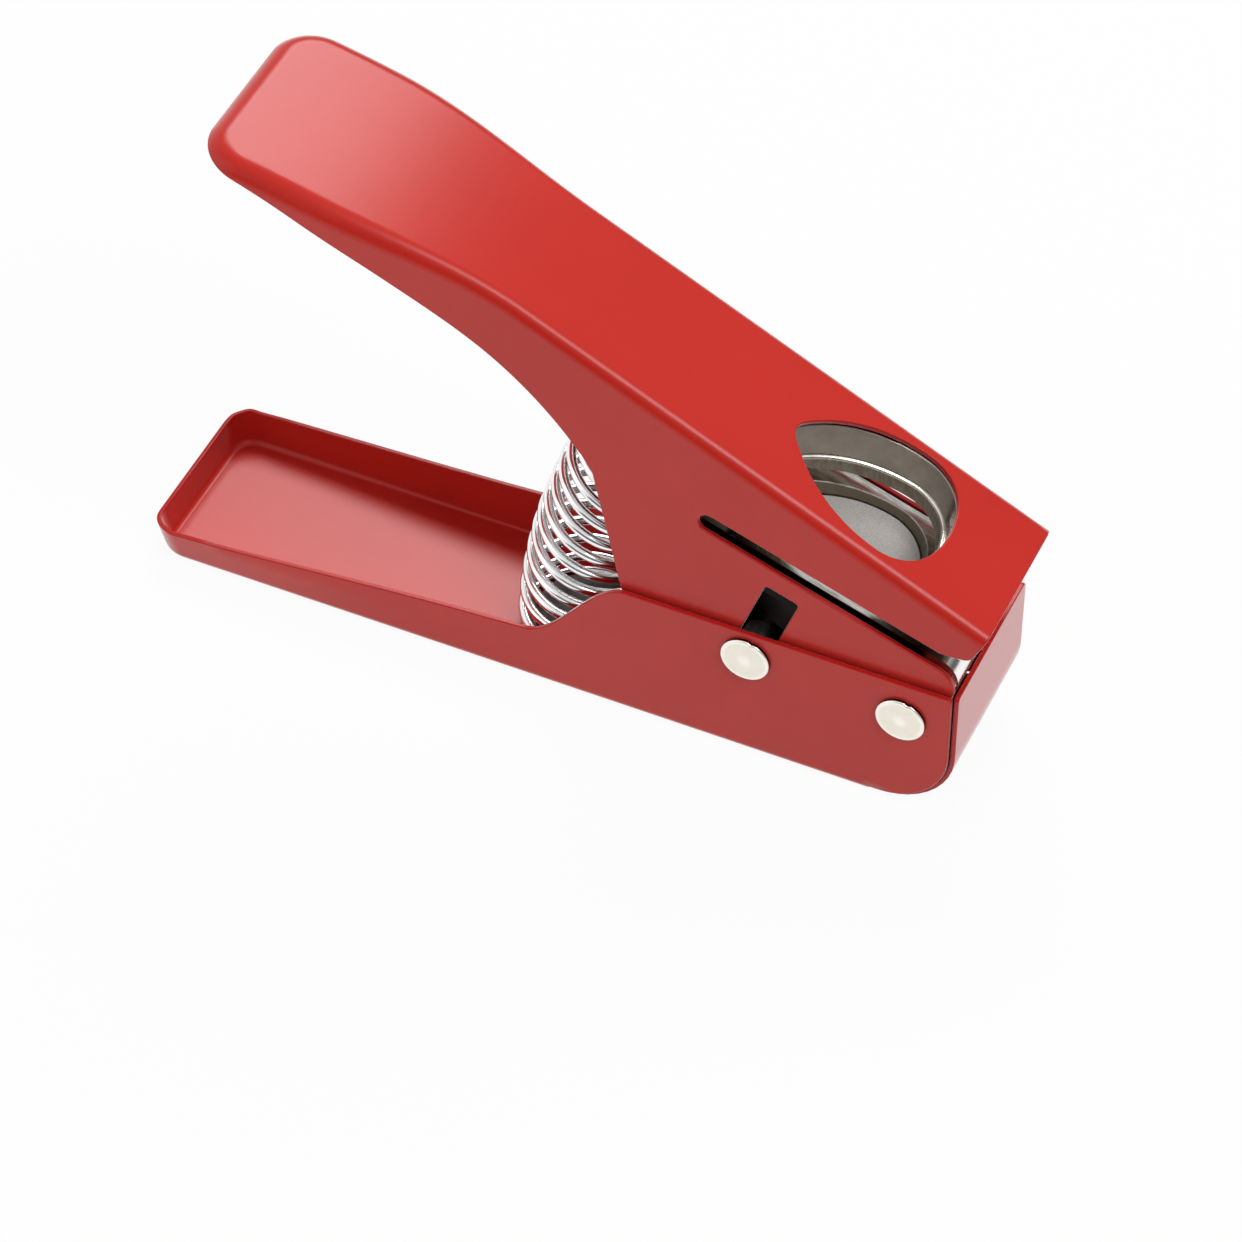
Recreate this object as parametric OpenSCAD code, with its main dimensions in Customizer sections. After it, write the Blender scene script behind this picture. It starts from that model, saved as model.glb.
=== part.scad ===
// Guitar pick punch: a squeeze press of folded sheet steel. A lever turns on the front rivet and
// carries the die set down over a punch, which the rear rivet holds up from the base. A long coil
// spring under the handle lifts the lever again. Drawn at rest, with the lever open.
// Frame: origin in the middle of the base's underside, +X to the jaw, +Z up, millimetres.

/* [Base] */
// Length of the base, from the tray's rear rim to the front flap
base_l = 155; // [140:1:175]
// Width of the base over its side walls
base_w = 32.7; // [31.5:0.1:36]
// Height of the side walls and of the front flap
base_h = 29; // [28:0.5:32]
// Thickness of the base's sheet
base_sheet = 0.9; // [0.6:0.05:1]
// Height of the tray's rim at the rear
tray_h = 6.6; // [5:0.1:9]
// Height of the rim where the side walls start to rise
tray_front_h = 12.2; // [10:0.1:16]
// How far the tray's rim leans out at the rear
tray_flare = 1.1; // [0:0.1:2]
// Length over which that lean fades out
tray_flare_l = 63; // [40:1:80]
// Corner radius of the tray in plan
tray_corner_r = 5.5; // [4:0.1:9]
// Outside radius of the bend between floor and walls
floor_bend_r = 1.7; // [1.5:0.1:3.5]
// Distance from the flap's face back to where the side walls reach full height
wall_step_back = 61.5; // [57:0.5:66]
// Length of the side walls' rise
wall_step_l = 19; // [12:0.5:26]
// Outside radius of the bend between floor and flap
flap_bend_r = 14; // [10:0.5:18]
// Width of the flap
flap_w = 30.8; // [26:0.1:31]
// Slit between the side walls' edges and the flap
flap_slit = 0.15; // [0.05:0.05:0.6]

/* [Rivets] */
// Distance from the flap's face back to the pivot
pivot_back = 9.8; // [8:0.1:12]
// Height of the pivot
pivot_h = 21; // [19:0.1:22]
// Distance from the pivot back to the rear rivet
pin_span = 28.8; // [27:0.1:31]
// Height of the rear rivet
pin_h = 23.2; // [21.5:0.1:24]
// Diameter of both rivets
rivet_d = 4.2; // [3.6:0.1:4.4]
// Diameter of the rivet heads
rivet_head_d = 9.4; // [8:0.1:11]
// Thickness of the rivet heads
rivet_head_t = 0.95; // [0.6:0.05:1.4]
// Running clearance round a rivet, on the radius
rivet_clear = 0.06; // [0.03:0.01:0.1]
// Thickness of the pivot washers
washer_t = 0.3; // [0.2:0.05:0.4]

/* [Lever] */
// Width of the lever at its front
lever_w = 30; // [29:0.1:30.4]
// Length of the lever's top
lever_l = 154.6; // [146:0.2:170]
// Thickness of the lever's sheet
lever_sheet = 1; // [0.8:0.05:1.2]
// Slope of the lever's top at rest
lever_tilt = 25.85; // [24.5:0.05:27]
// Distance from the lever's front edge back to the pivot
pivot_u = 2.35; // [1.5:0.05:4]
// Depth of the pivot under the lever's top
pivot_depth = 27; // [26.5:0.1:30]
// Radius of the lever's long edges at the front
lever_edge_r = 1.9; // [1.6:0.1:2.5]
// Radius of the handle's edges at the tail
tail_edge_r = 3.4; // [2:0.1:4.5]
// Width of the handle at the tail
tail_w = 37.9; // [30.5:0.1:40]
// Corner radius of the tail in plan
tail_corner_r = 8; // [5:0.5:11]
// Distance from the front edge back to where the handle starts to widen and bend
handle_u = 95; // [90:0.5:100]
// Length over which the handle widens
handle_flare_l = 39; // [30:1:44]
// Radius of the handle's downward bend
handle_bend_r = 205; // [180:5:500]
// Height of the handle's side where the throat's curve ends
throat_depth = 13.1; // [12:0.1:15]
// Distance from the front edge back to the end of that curve
throat_u = 95.5; // [92:0.5:100]
// Radius of the throat's curve under the handle
throat_r = 60; // [54:1:80]
// Slope of the handle's lower edge against its top
handle_taper = 7.5; // [4:0.1:9]
// Distance from the front edge back to where the lower edge bends down
tail_bend_u = 116; // [108:0.5:125]
// Radius of that bend
tail_bend_r = 135; // [120:5:300]
// Distance from the front edge back to the top of the cheeks' rear edge
cheek_u = 69.6; // [67:0.1:72]
// Distance from the front edge back to the cheeks' lower rear corner
heel_u = 51; // [48:0.1:53]
// Depth of that corner
heel_depth = 46.3; // [45:0.1:48]
// Radius of the cheeks round the pivot
cheek_boss_r = 6.5; // [5.5:0.1:7]

/* [Strip slot and pick] */
// Angle between the strip slot and the lever's top
slot_tilt = 6.6; // [5.8:0.05:7.4]
// Height of the strip's plane over the pivot
slot_h = 16; // [15.6:0.05:16.6]
// Width of the slot in the cheeks
slot_w = 3.8; // [3:0.05:4.2]
// Distance from the pivot back to the slot's closed end
slot_l = 46.6; // [45:0.1:48]
// Slope of the slot's upper edge at its flared mouth
mouth_flare = 24; // [10:0.5:35]
// Gap between die and guide that the strip slides in
strip_gap = 3.85; // [3:0.05:3.9]
// Width of a pick
pick_w = 23.2; // [21:0.1:24]
// Distance from a pick's round end to its widest line
pick_heel = 9.1; // [8.6:0.1:10]
// Radius of a pick's shoulders
pick_shoulder_r = 8.6; // [7.5:0.1:9]
// Radius of a pick's long sides
pick_side_r = 26.6; // [25:0.1:28]
// Radius of a pick's tip
pick_tip_r = 2.6; // [2:0.1:4]
// Distance from the pivot back to the pick's round end
pick_back = 9.4; // [8.8:0.1:10.2]
// How much larger the window in the lever is than a pick, all round
window_clear = 0.4; // [0.2:0.05:0.55]

/* [Die set] */
// Thickness of the die plate
die_t = 2.7; // [2:0.1:3.2]
// Cutting clearance between punch and die, all round
die_clear = 0.08; // [0.05:0.01:0.15]
// Width of the die's ledge that shows inside the holder
die_ledge = 0.55; // [0.3:0.05:0.8]
// Thickness of the guide block
guide_t = 7.25; // [6.5:0.05:7.8]
// Width of the guide block at its top
guide_w = 26.2; // [25:0.1:27]
// How far the guide block's face stands over the slot's lower edge, so that the strip clears it
guide_proud = 0.4; // [0.1:0.05:0.8]
// Gap between the die set and the lever's cheeks
cheek_gap = 0.1; // [0.05:0.01:0.15]
// Distance from the pick's tip to the spacer behind the strip
stop_margin = 1.8; // [1.5:0.1:2.5]
// Length of that spacer
stop_l = 4.6; // [4.4:0.1:5.4]
// Wall of the holder's collar
holder_wall = 0.85; // [0.6:0.05:0.9]
// Thickness of the holder's flange
holder_flange_t = 2.5; // [2:0.1:3]
// Thread diameter of the die screws
die_screw_d = 2.5; // [2:0.1:2.6]
// Diameter of the dowels
dowel_d = 2; // [1.5:0.1:2.4]

/* [Punch] */
// How far the punch's face lies under the guide block's face at rest
punch_drop = 2.65; // [2:0.05:3.5]
// Radius of the crown on the punch's face, which lets it shear the strip from the middle out
crown_r = 60; // [55:1:120]
// Gap between the punch carrier and the guide block at the end of the press
carrier_gap = 0.3; // [0.2:0.05:0.6]
// Length of the punch carrier along the lever
carrier_l = 18; // [17:0.1:19.5]
// Width of the punch carrier
carrier_w = 19.6; // [16:0.1:21]
// Height of the carrier under the rear rivet's slotted hole
carrier_floor = 3; // [2:0.1:3.4]
// Thread diameter of the punch screws
punch_screw_d = 3; // [2.5:0.1:3]
// Clearance of the rear rivet in the carrier's slotted hole
pin_clear = 0.1; // [0.08:0.01:0.15]
// Width of the cheeks' windows for the rear rivet
pin_window_w = 6.5; // [6.3:0.1:7]
// Height of those windows over the pivot
pin_window_top = 9.85; // [9:0.05:10.5]

/* [Spring] */
// Outside diameter of the spring
spring_d = 24; // [22.5:0.1:25]
// Diameter of the spring's wire
wire_d = 1.8; // [1.4:0.05:2.2]
// Number of turns
spring_turns = 17; // [13:1:18]
// Distance from the flap's face back to the spring's foot
spring_back = 76.3; // [75:0.1:80]
// Distance from the lever's front edge back to the spring's head
spring_u = 65.2; // [64.6:0.1:70]
// Height of the spring seats
seat_h = 3; // [2:0.1:5]
// Clearance between a seat and the inside of the spring
seat_clear = 0.35; // [0.3:0.05:1]

/* [Hidden] */

// Room past a face for a cut
cut = 1;
// Room for cuts that pass the whole part
big = 200;
// Gap between faces that only just clear
touch_gap = 0.05;

// Base: where its ends and its inside faces lie
front_x = base_l / 2;
rear_x = -base_l / 2;
base_in = base_w / 2 - base_sheet;
floor_z = base_sheet;
flap_in_r = flap_bend_r - base_sheet;
flap_turn_x = front_x - flap_bend_r;
step_top_x = front_x - wall_step_back;
step_low_x = step_top_x - wall_step_l;
// Height where the tray's flared walls turn upright, clear of its low rim
flare_top = tray_h + base_sheet;

// Rivets in the base's frame
pivot_x = front_x - pivot_back;
pin_x = pivot_x - pin_span;
bore_d = rivet_d + 2 * rivet_clear;

// Lever: the press turns it from its rest slope until the strip slot is level
press_deg = lever_tilt - slot_tilt;
cheek_out = lever_w / 2;
cheek_in = cheek_out - lever_sheet;
die_half = cheek_in - cheek_gap;
tail_turn_u = lever_l - tail_corner_r;
// Room that the lever's blank has past its front edge before it is cut to shape
blank_lead = 8;
blank_depth = 60;

// Pick outline: four arcs a side, tangent to each other
pick_side_y = pick_w / 2 - pick_side_r;
pick_tip_x = sqrt(pow(pick_side_r - pick_tip_r, 2) - pow(pick_side_y, 2));
pick_len = pick_heel + pick_tip_x + pick_tip_r;
pick_shoulder_y = pick_w / 2 - pick_shoulder_r;
pick_end_r = (pow(pick_shoulder_y, 2) + pow(pick_heel, 2) - pow(pick_shoulder_r, 2))
    / (2 * (pick_heel - pick_shoulder_r));
pick_end_x = pick_end_r - pick_heel;
pick_mid_x = -pick_back - pick_heel;

// Die set, in the frame of the strip: origin on the pivot, +X forward, +Z square to the strip
guide_top_z = slot_h - slot_w / 2 + guide_proud;
guide_z = guide_top_z - guide_t;
guide_wing_t = 3.2;
die_z = guide_top_z + strip_gap;
die_top_z = die_z + die_t;
holder_flange_z = die_top_z + holder_flange_t;
stop_x = -pick_back - pick_len - stop_margin;
set_rear_x = stop_x - stop_l;
set_front_x = 4.5;
lip_x = 5.5;
lip_r = 4.5;
guide_front_x = lip_x - 0.5;
nose_x = lip_x;
nose_r = 4.8;
lug_r = 5.5;
lug_t = 4.5;
lug_in = die_half - lug_t;
holder_half = cheek_out - lever_edge_r - touch_gap;
fix_x = stop_x - stop_l / 2;
stop_half = 11.2;
die_screw_y = 8.4;
dowel_y = 3.2;
die_screw_grip = 3.5;
dowel_grip = 1;
anchor_gap = 0.4;
holder_lead = 4;

// Rear rivet seen from the die set, at rest and through the press
function pin_x_at(tip) = -pin_span * cos(tip) - (pin_h - pivot_h) * sin(tip);
function pin_z_at(tip) = -pin_span * sin(tip) + (pin_h - pivot_h) * cos(tip);
pin_rest_z = pin_z_at(press_deg);
pin_stroke = pin_z_at(0) - pin_rest_z;
pin_far_x = -norm([pin_span, pin_h - pivot_h]);
pin_near_x = max(pin_x_at(press_deg), pin_x_at(0));
pin_mid_x = (pin_far_x + pin_near_x) / 2;
pin_wander = pin_near_x - pin_far_x;

// Punch and carrier
punch_top_z = guide_top_z - punch_drop;
crown_back = 1.5;
crown_x = pick_mid_x - crown_back;
punch_z = guide_z - pin_stroke - carrier_gap;
pin_hole_d = rivet_d + 2 * pin_clear;
carrier_z = pin_rest_z - pin_hole_d / 2 - carrier_floor;
carrier_h = punch_z - carrier_z;
screw_head_k = 1.7;
screw_edge = 0.8;
punch_screw_x = carrier_l / 2 - punch_screw_d * screw_head_k / 2 - screw_edge;
punch_screw_grip = 6;
tap_room = 0.5;
screw_clear = 0.1;
punch_hole_d = punch_screw_d + 2 * screw_clear;

// Spring: its axis is a parabola that leaves the floor and the lever's underside square to both
spring_x = front_x - spring_back;
coil_r = spring_d / 2 - wire_d / 2;
seat_gap = 0.15;
end_lift = wire_d / 2 + seat_gap;
head_x = pivot_x + (pivot_u - spring_u) * cos(lever_tilt) + (pivot_depth - lever_sheet) * sin(lever_tilt);
head_z = pivot_h - (pivot_u - spring_u) * sin(lever_tilt) + (pivot_depth - lever_sheet) * cos(lever_tilt);
lever_up = [sin(lever_tilt), 0, cos(lever_tilt)];
axis_foot = [spring_x, 0, floor_z + end_lift];
axis_head = [head_x, 0, head_z] - end_lift * lever_up;
axis_bend = axis_head - (axis_head.x - spring_x) / lever_up.x * lever_up;
foot_pace = norm(axis_bend - axis_foot);
head_pace = norm(axis_head - axis_bend);
rings_per_turn = 8;
wire_sides = 6;
flat_turn = 0.4;
seat_r = coil_r * cos(180 / rings_per_turn) - wire_d / 2 - seat_clear;
seat_sheet = 0.8;

red = [0.75, 0.16, 0.13];
nickel = [0.86, 0.84, 0.78];
chrome = [0.8, 0.81, 0.82];
steel = [0.55, 0.56, 0.58];
sinter = [0.66, 0.66, 0.65];
nylon = [0.93, 0.92, 0.88];
black_oxide = [0.16, 0.16, 0.17];

// 0 before 0, 1 after 1, and a smooth rise between
function smooth(t) = let (c = max(0, min(1, t))) c * c * (3 - 2 * c);

// Ring made of a half outline and its mirror image in y
function mirrored(half) = concat(half, [for (i = [len(half) - 1:-1:0]) [half[i].x, -half[i].y, half[i].z]]);

// Closed solid from a stack of such rings, counted from an end that faces down to one that faces up
module ring_stack(rings) {
    n = len(rings[0]);
    last = (len(rings) - 1) * n;
    sides = [
        for (k = [0:len(rings) - 2], j = [0:n - 1])
            let (a = k * n + j, b = k * n + (j + 1) % n)
                each [[a, a + n, b + n], [a, b + n, b]]
    ];
    low_cap = [for (j = [0:n / 2 - 2]) [j, j + 1, n - 2 - j, n - 1 - j]];
    top_cap = [for (q = low_cap) [last + q[3], last + q[2], last + q[1], last + q[0]]];
    polyhedron(points = [for (r = rings) each r], faces = concat(low_cap, sides, top_cap));
}

// Frame of the die set, and that of the lever's top with its origin on the front edge
module in_die() {
    translate([pivot_x, 0, pivot_h]) rotate([0, press_deg, 0]) children();
}

module in_lever() {
    translate([pivot_x, 0, pivot_h]) rotate([0, lever_tilt, 0])
        translate([pivot_u, 0, pivot_depth]) children();
}

// Side-view shape made as wide as asked, across the part
module across(width) {
    rotate([90, 0, 0]) linear_extrude(height = width, center = true) children();
}

// Round bar along y between two planes
module bar(d, y0, y1) {
    translate([0, y1, 0]) rotate([90, 0, 0]) cylinder(d = d, h = y1 - y0, $fn = 48);
}

// Points of an arc, in degrees, with its first and last point
function arc(c, r, a0, a1, steps) = [
    for (i = [0:steps]) let (a = a0 + (a1 - a0) * i / steps) [c.x + r * cos(a), c.y + r * sin(a)]
];

// Outline of a pick, larger by e all round, tip to -x, origin on its widest line
function pick_outline(e) =
    let (
        tip_a = 90 + atan2(pick_tip_x, -pick_side_y),
        end_a = atan2(pick_shoulder_y, -pick_end_x),
        half = concat(
            arc([-pick_end_x, 0], pick_end_r + e, 0, 180 - end_a, 5),
            arc([0, pick_shoulder_y], pick_shoulder_r + e, 180 - end_a, 90, 6),
            arc([0, pick_side_y], pick_side_r + e, 90, tip_a, 9),
            arc([-pick_tip_x, 0], pick_tip_r + e, tip_a, 180, 5)
        )
    )
    concat(half, [for (i = [len(half) - 2:-1:1]) [half[i].x, -half[i].y]]);

// Straight hole or bar of pick outline in the die frame
module pick_prism(e, z0, z1) {
    translate([pick_mid_x, 0, z0]) linear_extrude(height = z1 - z0) polygon(pick_outline(e));
}

// Rim of the base's side wall, as a height over x
function rim_slope(x) = tray_h + (tray_front_h - tray_h) * (x - rear_x) / (step_low_x - rear_x);
function rim_z(x) =
    let (low = rim_slope(min(x, step_top_x)))
    low + (base_h - low) * smooth((x - step_low_x) / wall_step_l);

// Plan outline of the base at height z, drawn in by e
function base_half(x, e, lean) =
    base_w / 2 - e + lean * tray_flare * (1 - smooth((x - rear_x) / tray_flare_l));

function base_ring(e, z) =
    let (
        lean = min(z, flare_top) / tray_h,
        corner_x = rear_x + tray_flare * (1 - lean) + tray_corner_r,
        r = tray_corner_r - e,
        side_end = rear_x + tray_flare + tray_corner_r + cut,
        corner_y = base_half(corner_x, e, lean) - r,
        side = [
            for (i = [0:6])
                let (x = rear_x + tray_flare_l + (side_end - rear_x - tray_flare_l) * i / 6)
                    [x, base_half(x, e, lean), z]
        ],
        corner = [for (a = [0:15:90]) [corner_x - r * sin(a), corner_y + r * cos(a), z]]
    )
    mirrored(concat([[front_x + cut - e, base_w / 2 - e, z]], side, corner));

// Side view of what is left of the base's walls and floor
module base_side() {
    wall_r = flap_in_r - flap_slit;
    rim_xs = [
        for (i = [0:14]) step_top_x - wall_step_l * i / 14,
        rear_x - cut
    ];
    polygon(concat(
        [[rear_x - cut, -cut], [flap_turn_x, -cut]],
        arc([flap_turn_x, flap_bend_r], wall_r, -90, 0, 12),
        [[flap_turn_x + wall_r, base_h]],
        [for (x = rim_xs) [x, rim_z(x)]]
    ));
}

// Side view of the strip that curls up from the floor into the front flap
module flap_side() {
    difference() {
        translate([flap_turn_x, flap_bend_r]) union() {
            intersection() {
                circle(r = flap_bend_r, $fn = 96);
                translate([0, -flap_bend_r]) square([flap_bend_r, flap_bend_r]);
            }
            square([flap_bend_r, base_h - flap_bend_r]);
        }
        translate([flap_turn_x, flap_bend_r]) circle(r = flap_in_r, $fn = 96);
        translate([flap_turn_x - cut, flap_bend_r]) square([flap_in_r + cut, base_h]);
    }
}

// Tray, floor and side walls in one folded sheet, with the flap in front of the walls' edges
module base_shell() {
    in_r = floor_bend_r - base_sheet;
    turns = [0, 22.5, 45, 67.5, 90];
    rings = concat(
        [for (a = turns) base_ring(floor_bend_r * (1 - sin(a)), floor_bend_r * (1 - cos(a)))],
        [base_ring(0, flare_top), base_ring(0, base_h + cut)],
        [base_ring(base_sheet, base_h + cut), base_ring(base_sheet, flare_top)],
        [
            for (i = [4:-1:0])
                base_ring(base_sheet + in_r * (1 - sin(turns[i])), base_sheet + in_r * (1 - cos(turns[i])))
        ]
    );
    color(red) difference() {
        union() {
            intersection() {
                ring_stack(rings);
                across(base_w + big) base_side();
            }
            across(flap_w) flap_side();
        }
        translate([pivot_x, 0, pivot_h]) bar(bore_d, -big, big);
        translate([pin_x, 0, pin_h]) bar(bore_d, -big, big);
    }
}

// Shouldered rivet with a flat head on both walls
module rivet() {
    color(nickel) union() {
        bar(rivet_d, -base_w / 2 - rivet_head_t, base_w / 2 + rivet_head_t);
        for (side = [-1, 1])
            translate([0, side * (base_w / 2 + rivet_head_t / 2), 0])
                bar(rivet_head_d, -rivet_head_t / 2, rivet_head_t / 2);
    }
}

module pivot_rivet() {
    translate([pivot_x, 0, pivot_h]) rivet();
}

module punch_rivet() {
    translate([pin_x, 0, pin_h]) rivet();
}

// Tube on a rivet along y
module tube(d, y0, y1) {
    difference() {
        bar(d, y0, y1);
        bar(bore_d, y0 - cut, y1 + cut);
    }
}

// Keeps the guide block's lugs apart when the rivet is headed
module pivot_sleeve() {
    sleeve_wall = 1.5;
    half = lug_in - touch_gap;
    color(steel) translate([pivot_x, 0, pivot_h]) tube(bore_d + 2 * sleeve_wall, -half, half);
}

// Keeps the lever's cheeks off the base's walls
module pivot_washers() {
    mid = (cheek_out + base_in) / 2;
    color(nylon) translate([pivot_x, 0, pivot_h])
        for (side = [-1, 1])
            tube(rivet_head_d, side * mid - washer_t / 2, side * mid + washer_t / 2);
}

// Keep the carrier in the middle of the rear rivet
module carrier_spacers() {
    spacer_wall = 0.85;
    y0 = carrier_w / 2 + touch_gap;
    y1 = cheek_in - 2 * touch_gap;
    color(steel) translate([pin_x, 0, pin_h])
        for (side = [-1, 1])
            tube(bore_d + 2 * spacer_wall, min(side * y0, side * y1), max(side * y0, side * y1));
}

// Pressed cap that stands inside the spring's end, open side down
module seat_cap() {
    rim = 0.8;
    color(steel) rotate_extrude($fn = 64) polygon([
        [0, seat_h], [seat_r - rim, seat_h], [seat_r, seat_h - rim], [seat_r, 0],
        [seat_r - seat_sheet, 0], [seat_r - seat_sheet, seat_h - rim - seat_sheet / 2],
        [seat_r - rim - seat_sheet / 2, seat_h - seat_sheet], [0, seat_h - seat_sheet]
    ]);
}

module lower_spring_seat() {
    translate([spring_x, 0, floor_z]) seat_cap();
}

module upper_spring_seat() {
    in_lever() translate([-spring_u, 0, -lever_sheet]) mirror([0, 0, 1]) seat_cap();
}

// Point of the parabola and its direction, at share s of its length
function axis_share(s) =
    s * (foot_pace + head_pace)
        / (foot_pace + sqrt(pow(foot_pace, 2) + (pow(head_pace, 2) - pow(foot_pace, 2)) * s));
function axis_point(q) = pow(1 - q, 2) * axis_foot + 2 * q * (1 - q) * axis_bend + q * q * axis_head;
function axis_up(q) = unit((1 - q) * (axis_bend - axis_foot) + q * (axis_head - axis_bend));
function unit(v) = v / norm(v);

// Wire t turns round from the foot: its place, and the direction out of the coil
function wire_q(t) = axis_share(max(0, min(1, (t - flat_turn) / (spring_turns - 2 * flat_turn))));
function wire_out(t) =
    let (up = axis_up(wire_q(t)))
    -cos(360 * t) * [up.z, 0, -up.x] + [0, sin(360 * t), 0];
function wire_point(t) = axis_point(wire_q(t)) + coil_r * wire_out(t);

wire_steps = spring_turns * rings_per_turn;
wire_path = [for (i = [0:wire_steps]) wire_point(i / rings_per_turn)];

function wire_ring(i) =
    let (
        along = unit(wire_path[min(wire_steps, i + 1)] - wire_path[max(0, i - 1)]),
        side = unit(cross(axis_up(wire_q(i / rings_per_turn)), along)),
        up = cross(along, side)
    )
    [for (k = [0:wire_sides - 1]) let (a = 30 + 360 * k / wire_sides)
        wire_path[i] + wire_d / 2 * (cos(a) * side + sin(a) * up)];

// Least gap from the wire to itself, taken on its points a half turn or more apart
wire_gap = min([
    for (i = [0:wire_steps], j = [i + rings_per_turn / 2:1:min(wire_steps, i + 2 * rings_per_turn)])
        norm(wire_path[i] - wire_path[j])
]) - wire_d;
echo(least_gap_of_spring_wire = wire_gap);

// Coil spring between floor and lever, one unbroken wire
module return_spring() {
    n = wire_sides;
    last = wire_steps * n;
    sides = [
        for (i = [0:wire_steps - 1], k = [0:n - 1])
            let (a = i * n + k, b = i * n + (k + 1) % n)
                each [[a, a + n, b + n], [a, b + n, b]]
    ];
    low_cap = [for (k = [1:n - 2]) [0, k, k + 1]];
    top_cap = [for (k = [1:n - 2]) [last, last + k + 1, last + k]];
    color(chrome) polyhedron(
        points = [for (i = [0:wire_steps]) each wire_ring(i)],
        faces = concat(low_cap, sides, top_cap)
    );
}

// Lever: how it widens, bends down and gets rounder towards the tail, over the distance u from its front
function handle_share(u) = smooth((u - handle_u) / handle_flare_l);
function lever_half(u) = cheek_out + (tail_w - lever_w) / 2 * handle_share(u);
function lever_edge(u) = lever_edge_r + (tail_edge_r - lever_edge_r) * handle_share(u);
function bend_drop(x, r) = x > 0 ? r - sqrt(r * r - x * x) : 0;
function droop(u) = bend_drop(u - handle_u, handle_bend_r);

// Depth of the side's lower edge: the throat's curve, a straight taper, then a bend down to the tail
function handle_low(u) =
    throat_depth - (u - throat_u) * tan(handle_taper)
        + bend_drop(throat_u - u, throat_r) + bend_drop(u - tail_bend_u, tail_bend_r);

// Ring of the lever's blank: th in from its outside, a degrees round its edge bend, or at a set depth
function lever_ring(th, a, deep) =
    let (
        us = concat([for (i = [0:16]) handle_u + (tail_turn_u - handle_u) * i / 16]),
        inset = function(u) th + (lever_edge(u) - th) * (1 - cos(a)),
        low = function(u) is_undef(deep) ? droop(u) + th + (lever_edge(u) - th) * (1 - sin(a)) : deep,
        r = tail_corner_r - inset(tail_turn_u),
        corner_y = lever_half(tail_turn_u) - tail_corner_r,
        side = [for (u = us) [-u, lever_half(u) - inset(u), -low(u)]],
        corner = [
            for (q = [15:15:90])
                let (u = tail_turn_u + r * sin(q)) [-u, corner_y + r * cos(q), -low(u)]
        ]
    )
    mirrored(concat([[blank_lead - inset(0), cheek_out - inset(0), -low(0)]], side, corner));

// Depth at which the slot's upper edge meets the lever's front edge
slot_mouth_depth = pivot_depth - slot_h / cos(slot_tilt) - pivot_u * tan(slot_tilt) - slot_w / 2;
lip_lead = 1.5;
lip_drop = 2;
toe_u = 20;
toe_depth = 44;
heel_chamfer = 2;

// Side view of the lever: front edge, cheeks, throat and handle
module lever_side() {
    top = 3;
    lows = [for (i = [0:28]) cheek_u + (lever_l + cut - cheek_u) * i / 28];
    polygon(concat(
        [[0, top], [0, -slot_mouth_depth], [lip_lead, -slot_mouth_depth - slot_w - lip_drop]],
        arc([-pivot_u, -pivot_depth], cheek_boss_r, 10, -110, 12),
        [[-toe_u, -toe_depth], [heel_chamfer - heel_u, -heel_depth - heel_chamfer / 2]],
        [[-heel_u, -heel_depth]],
        [for (u = lows) [-u, -handle_low(u)]],
        [[-lever_l - cut, top]]
    ));
}

// Openings in the cheeks, in the frame of the die set: strip slot with its flared mouth
module slot_side() {
    r = slot_w / 2;
    translate([-slot_l + r, slot_h]) circle(r = r, $fn = 32);
    translate([-slot_l + r, slot_h - r]) square([slot_l + blank_lead, slot_w]);
    polygon([
        [0, slot_h], [blank_lead, slot_h],
        [blank_lead, slot_h + r + blank_lead * tan(mouth_flare)], [0, slot_h + r]
    ]);
    difference() {
        translate([lip_x - lip_r, slot_h - r - lip_r]) square([lip_r + blank_lead, lip_r + r]);
        translate([lip_x - lip_r, slot_h - r - lip_r]) circle(r = lip_r, $fn = 48);
    }
}

// Window that lets the rear rivet pass, its lower end the stop of the open lever
module pin_window_side() {
    r = 0.7;
    x0 = pin_far_x - rivet_d / 2 - 2 * pin_clear;
    x1 = x0 + pin_window_w;
    z0 = pin_rest_z - rivet_d / 2 - pin_clear;
    z1 = pin_window_top;
    polygon(concat(
        arc([x1 - r, z1 - r], r, 0, 90, 4),
        arc([x0 + r, z1 - r], r, 90, 180, 4),
        arc([x0 + r, z0 + r], r, 180, 270, 4),
        arc([x1 - r, z0 + r], r, 270, 360, 4)
    ));
}

// Window in the top over the die, square to the lever's sheet
module pick_window() {
    drop = pivot_depth * sin(slot_tilt);
    window_x = (pick_mid_x - drop) / cos(slot_tilt) - pivot_u;
    translate([window_x, 0, -pivot_depth / 4]) linear_extrude(height = pivot_depth / 2)
        polygon(pick_outline(window_clear));
}

// Handle, top and cheeks of the lever in one drawn sheet
module lever_shell() {
    turns = [0, 22.5, 45, 67.5, 90];
    rings = concat(
        [for (i = [4:-1:0]) lever_ring(lever_sheet, turns[i])],
        [lever_ring(lever_sheet, 0, blank_depth), lever_ring(0, 0, blank_depth)],
        [for (a = turns) lever_ring(0, a)]
    );
    color(red) difference() {
        in_lever() difference() {
            intersection() {
                ring_stack(rings);
                across(big) lever_side();
            }
            pick_window();
        }
        in_die() across(big) slot_side();
        in_die() across(big) pin_window_side();
        translate([pivot_x, 0, pivot_h]) bar(bore_d, -big, big);
    }
}

// Space over the lever's underside, in the frame of the die set
module over_lever_top() {
    rotate([0, slot_tilt, 0]) translate([-big / 2, -big / 2, pivot_depth - lever_sheet]) cube(big);
}

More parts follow.
